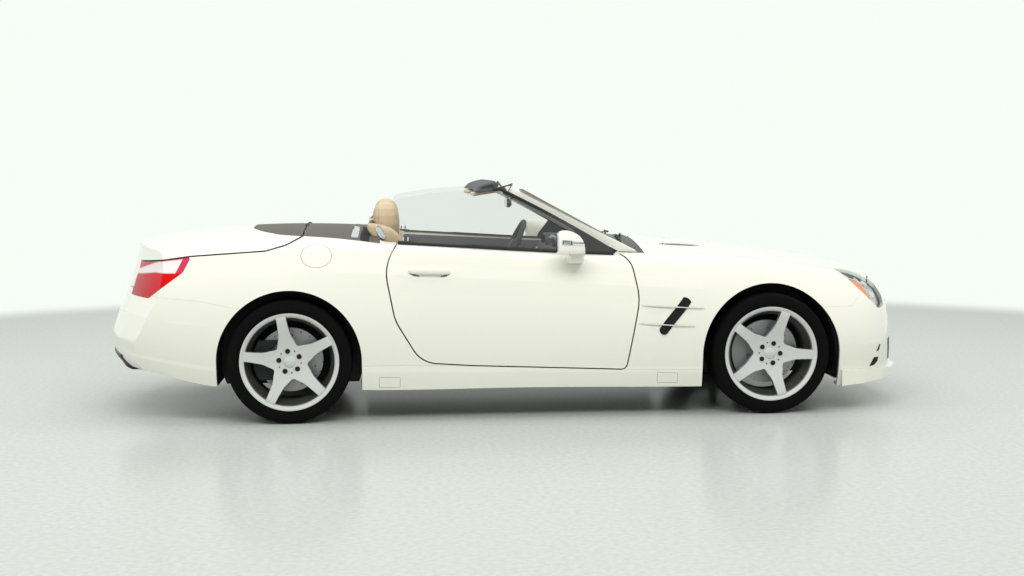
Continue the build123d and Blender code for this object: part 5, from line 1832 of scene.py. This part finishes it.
def buildDiffuser():
    # dark panel wrapped round the foot of the tail, with fins
    d = diffuserLook
    rows, cols = d["rows"], d["cols"]
    verts, above = [], {}
    for i in range(rows):
        z = d["top"] - d["tall"] * i / (rows - 1)
        for k in range(cols):
            y = -d["half"] + 2 * d["half"] * k / (cols - 1)
            above[k] = tailX(y, z, above.get(k, -2.12) + 0.007)
            inside = min(i, rows - 1 - i, k, cols - 1 - k) > 0
            verts.append((above[k] - (0.009 if inside else -0.004), y, z))
    thicken(piece("diffuser", verts, gridFaces(rows, cols), blackTrim, "chassis", "black_trim", 50), 0.006)
    for k, y in enumerate(d["fins"]):
        x = tailX(y, 0.29, -2.10)
        roundedBlock(f"diffuserFin{k}", (x - 0.016, y - 0.004, 0.272), (x + 0.02, y + 0.004, 0.340),
                     0.0035, blackTrim, "chassis", "black_trim", 3)


def upperIntake():
    # lowest and highest place where the mesh shows in the middle of the nose
    heights = []
    for z in [0.40 + 0.005 * k for k in range(60)]:
        mesh = endHit(["grille"], 0.0, z, 1)[0]
        nose = endHit(["front_bumper", "bonnet", "grille"], 0.0, z, 1)[0]
        if mesh is not None and nose is not None and mesh.x + 0.08 > nose.x:
            heights.append(z)
    return heights[0], heights[-1]


def buildGrilleBars():
    # two bright bars across the upper intake, carried by its dark mesh
    g = grilleBarLook
    middle = sum(upperIntake()) / 2
    for j, z in enumerate((middle - g["gap"], middle + g["gap"])):
        places = [endHit(["grille"], g["y"] * (k / 30 - 1), z, 1)[0] for k in range(61)]
        hits = [(p, Vector((1, 0, 0))) for p in places if p is not None and p.x > 1.9]
        piece(f"grilleBar{j}", *strip(hits, g["width"], g["lift"], 0.002), chrome, "chassis", "chrome")


def buildSideFittings(side):
    s, sign = sideLook, sides[side]
    # the corner slots and the deck slot are near-black decals: painted shade for openings; the deck strip is
    # the metal's own colour
    for name, node, lift, mat, slot in (("cornerSlot0", "front_bumper", 0.0006, holeShadeBlack, "black_trim"),
                                        ("cornerSlot1", "front_bumper", 0.0006, holeShadeBlack, "black_trim"),
                                        ("deckSlot", "rear_deck", 0.0008, holeShadeBlack, "black_trim"),
                                        ("deckStrip", "rear_deck", 0.0012, satinMetal, "chrome")):
        sideDecal(f"{name}_{side}", s[name], side, node, lift, mat, "chassis", slot)
    # covers of the jacking points along the sill
    corners = s["jackCorners"]
    for j, x0 in enumerate(s["jackX"]):
        path = []
        for (xa, za), (xb, zb) in zip(corners, corners[1:] + corners[:1]):
            for k in range(8):
                p, n = sideHit(["sill_skirts"], x0 + xa + (xb - xa) * k / 8, za + (zb - za) * k / 8, sign)
                path.append(p - n * 0.0004)
        piece(f"jackCover{j}_{side}", *tube(path, 0.0010, 6, 1.0, True), shadowAndSeamGrey, "chassis", "black_trim")
    # cloth-covered inner faces of the screen's pillars
    hits = []
    for t in [0.04 + 0.92 * k / 30 for k in range(31)]:
        x, z = (start + run * t for start, run in zip(s["pillarFrom"], s["pillarRun"]))
        p, n = hitFrom(["windscreen_frame"], (x, 0, z), (0, sign, 0))
        if p is not None and abs(p.y) < 0.80:
            hits.append((p, n))
    piece(f"pillarTrim_{side}", *strip(hits, 0.058, 0.005, 0.002), pillarCloth, "chassis", "leather")


buildExhaust()
buildDiffuser()
buildGrilleBars()
for side in sides:
    buildSideFittings(side)
print("stage: outside fittings")
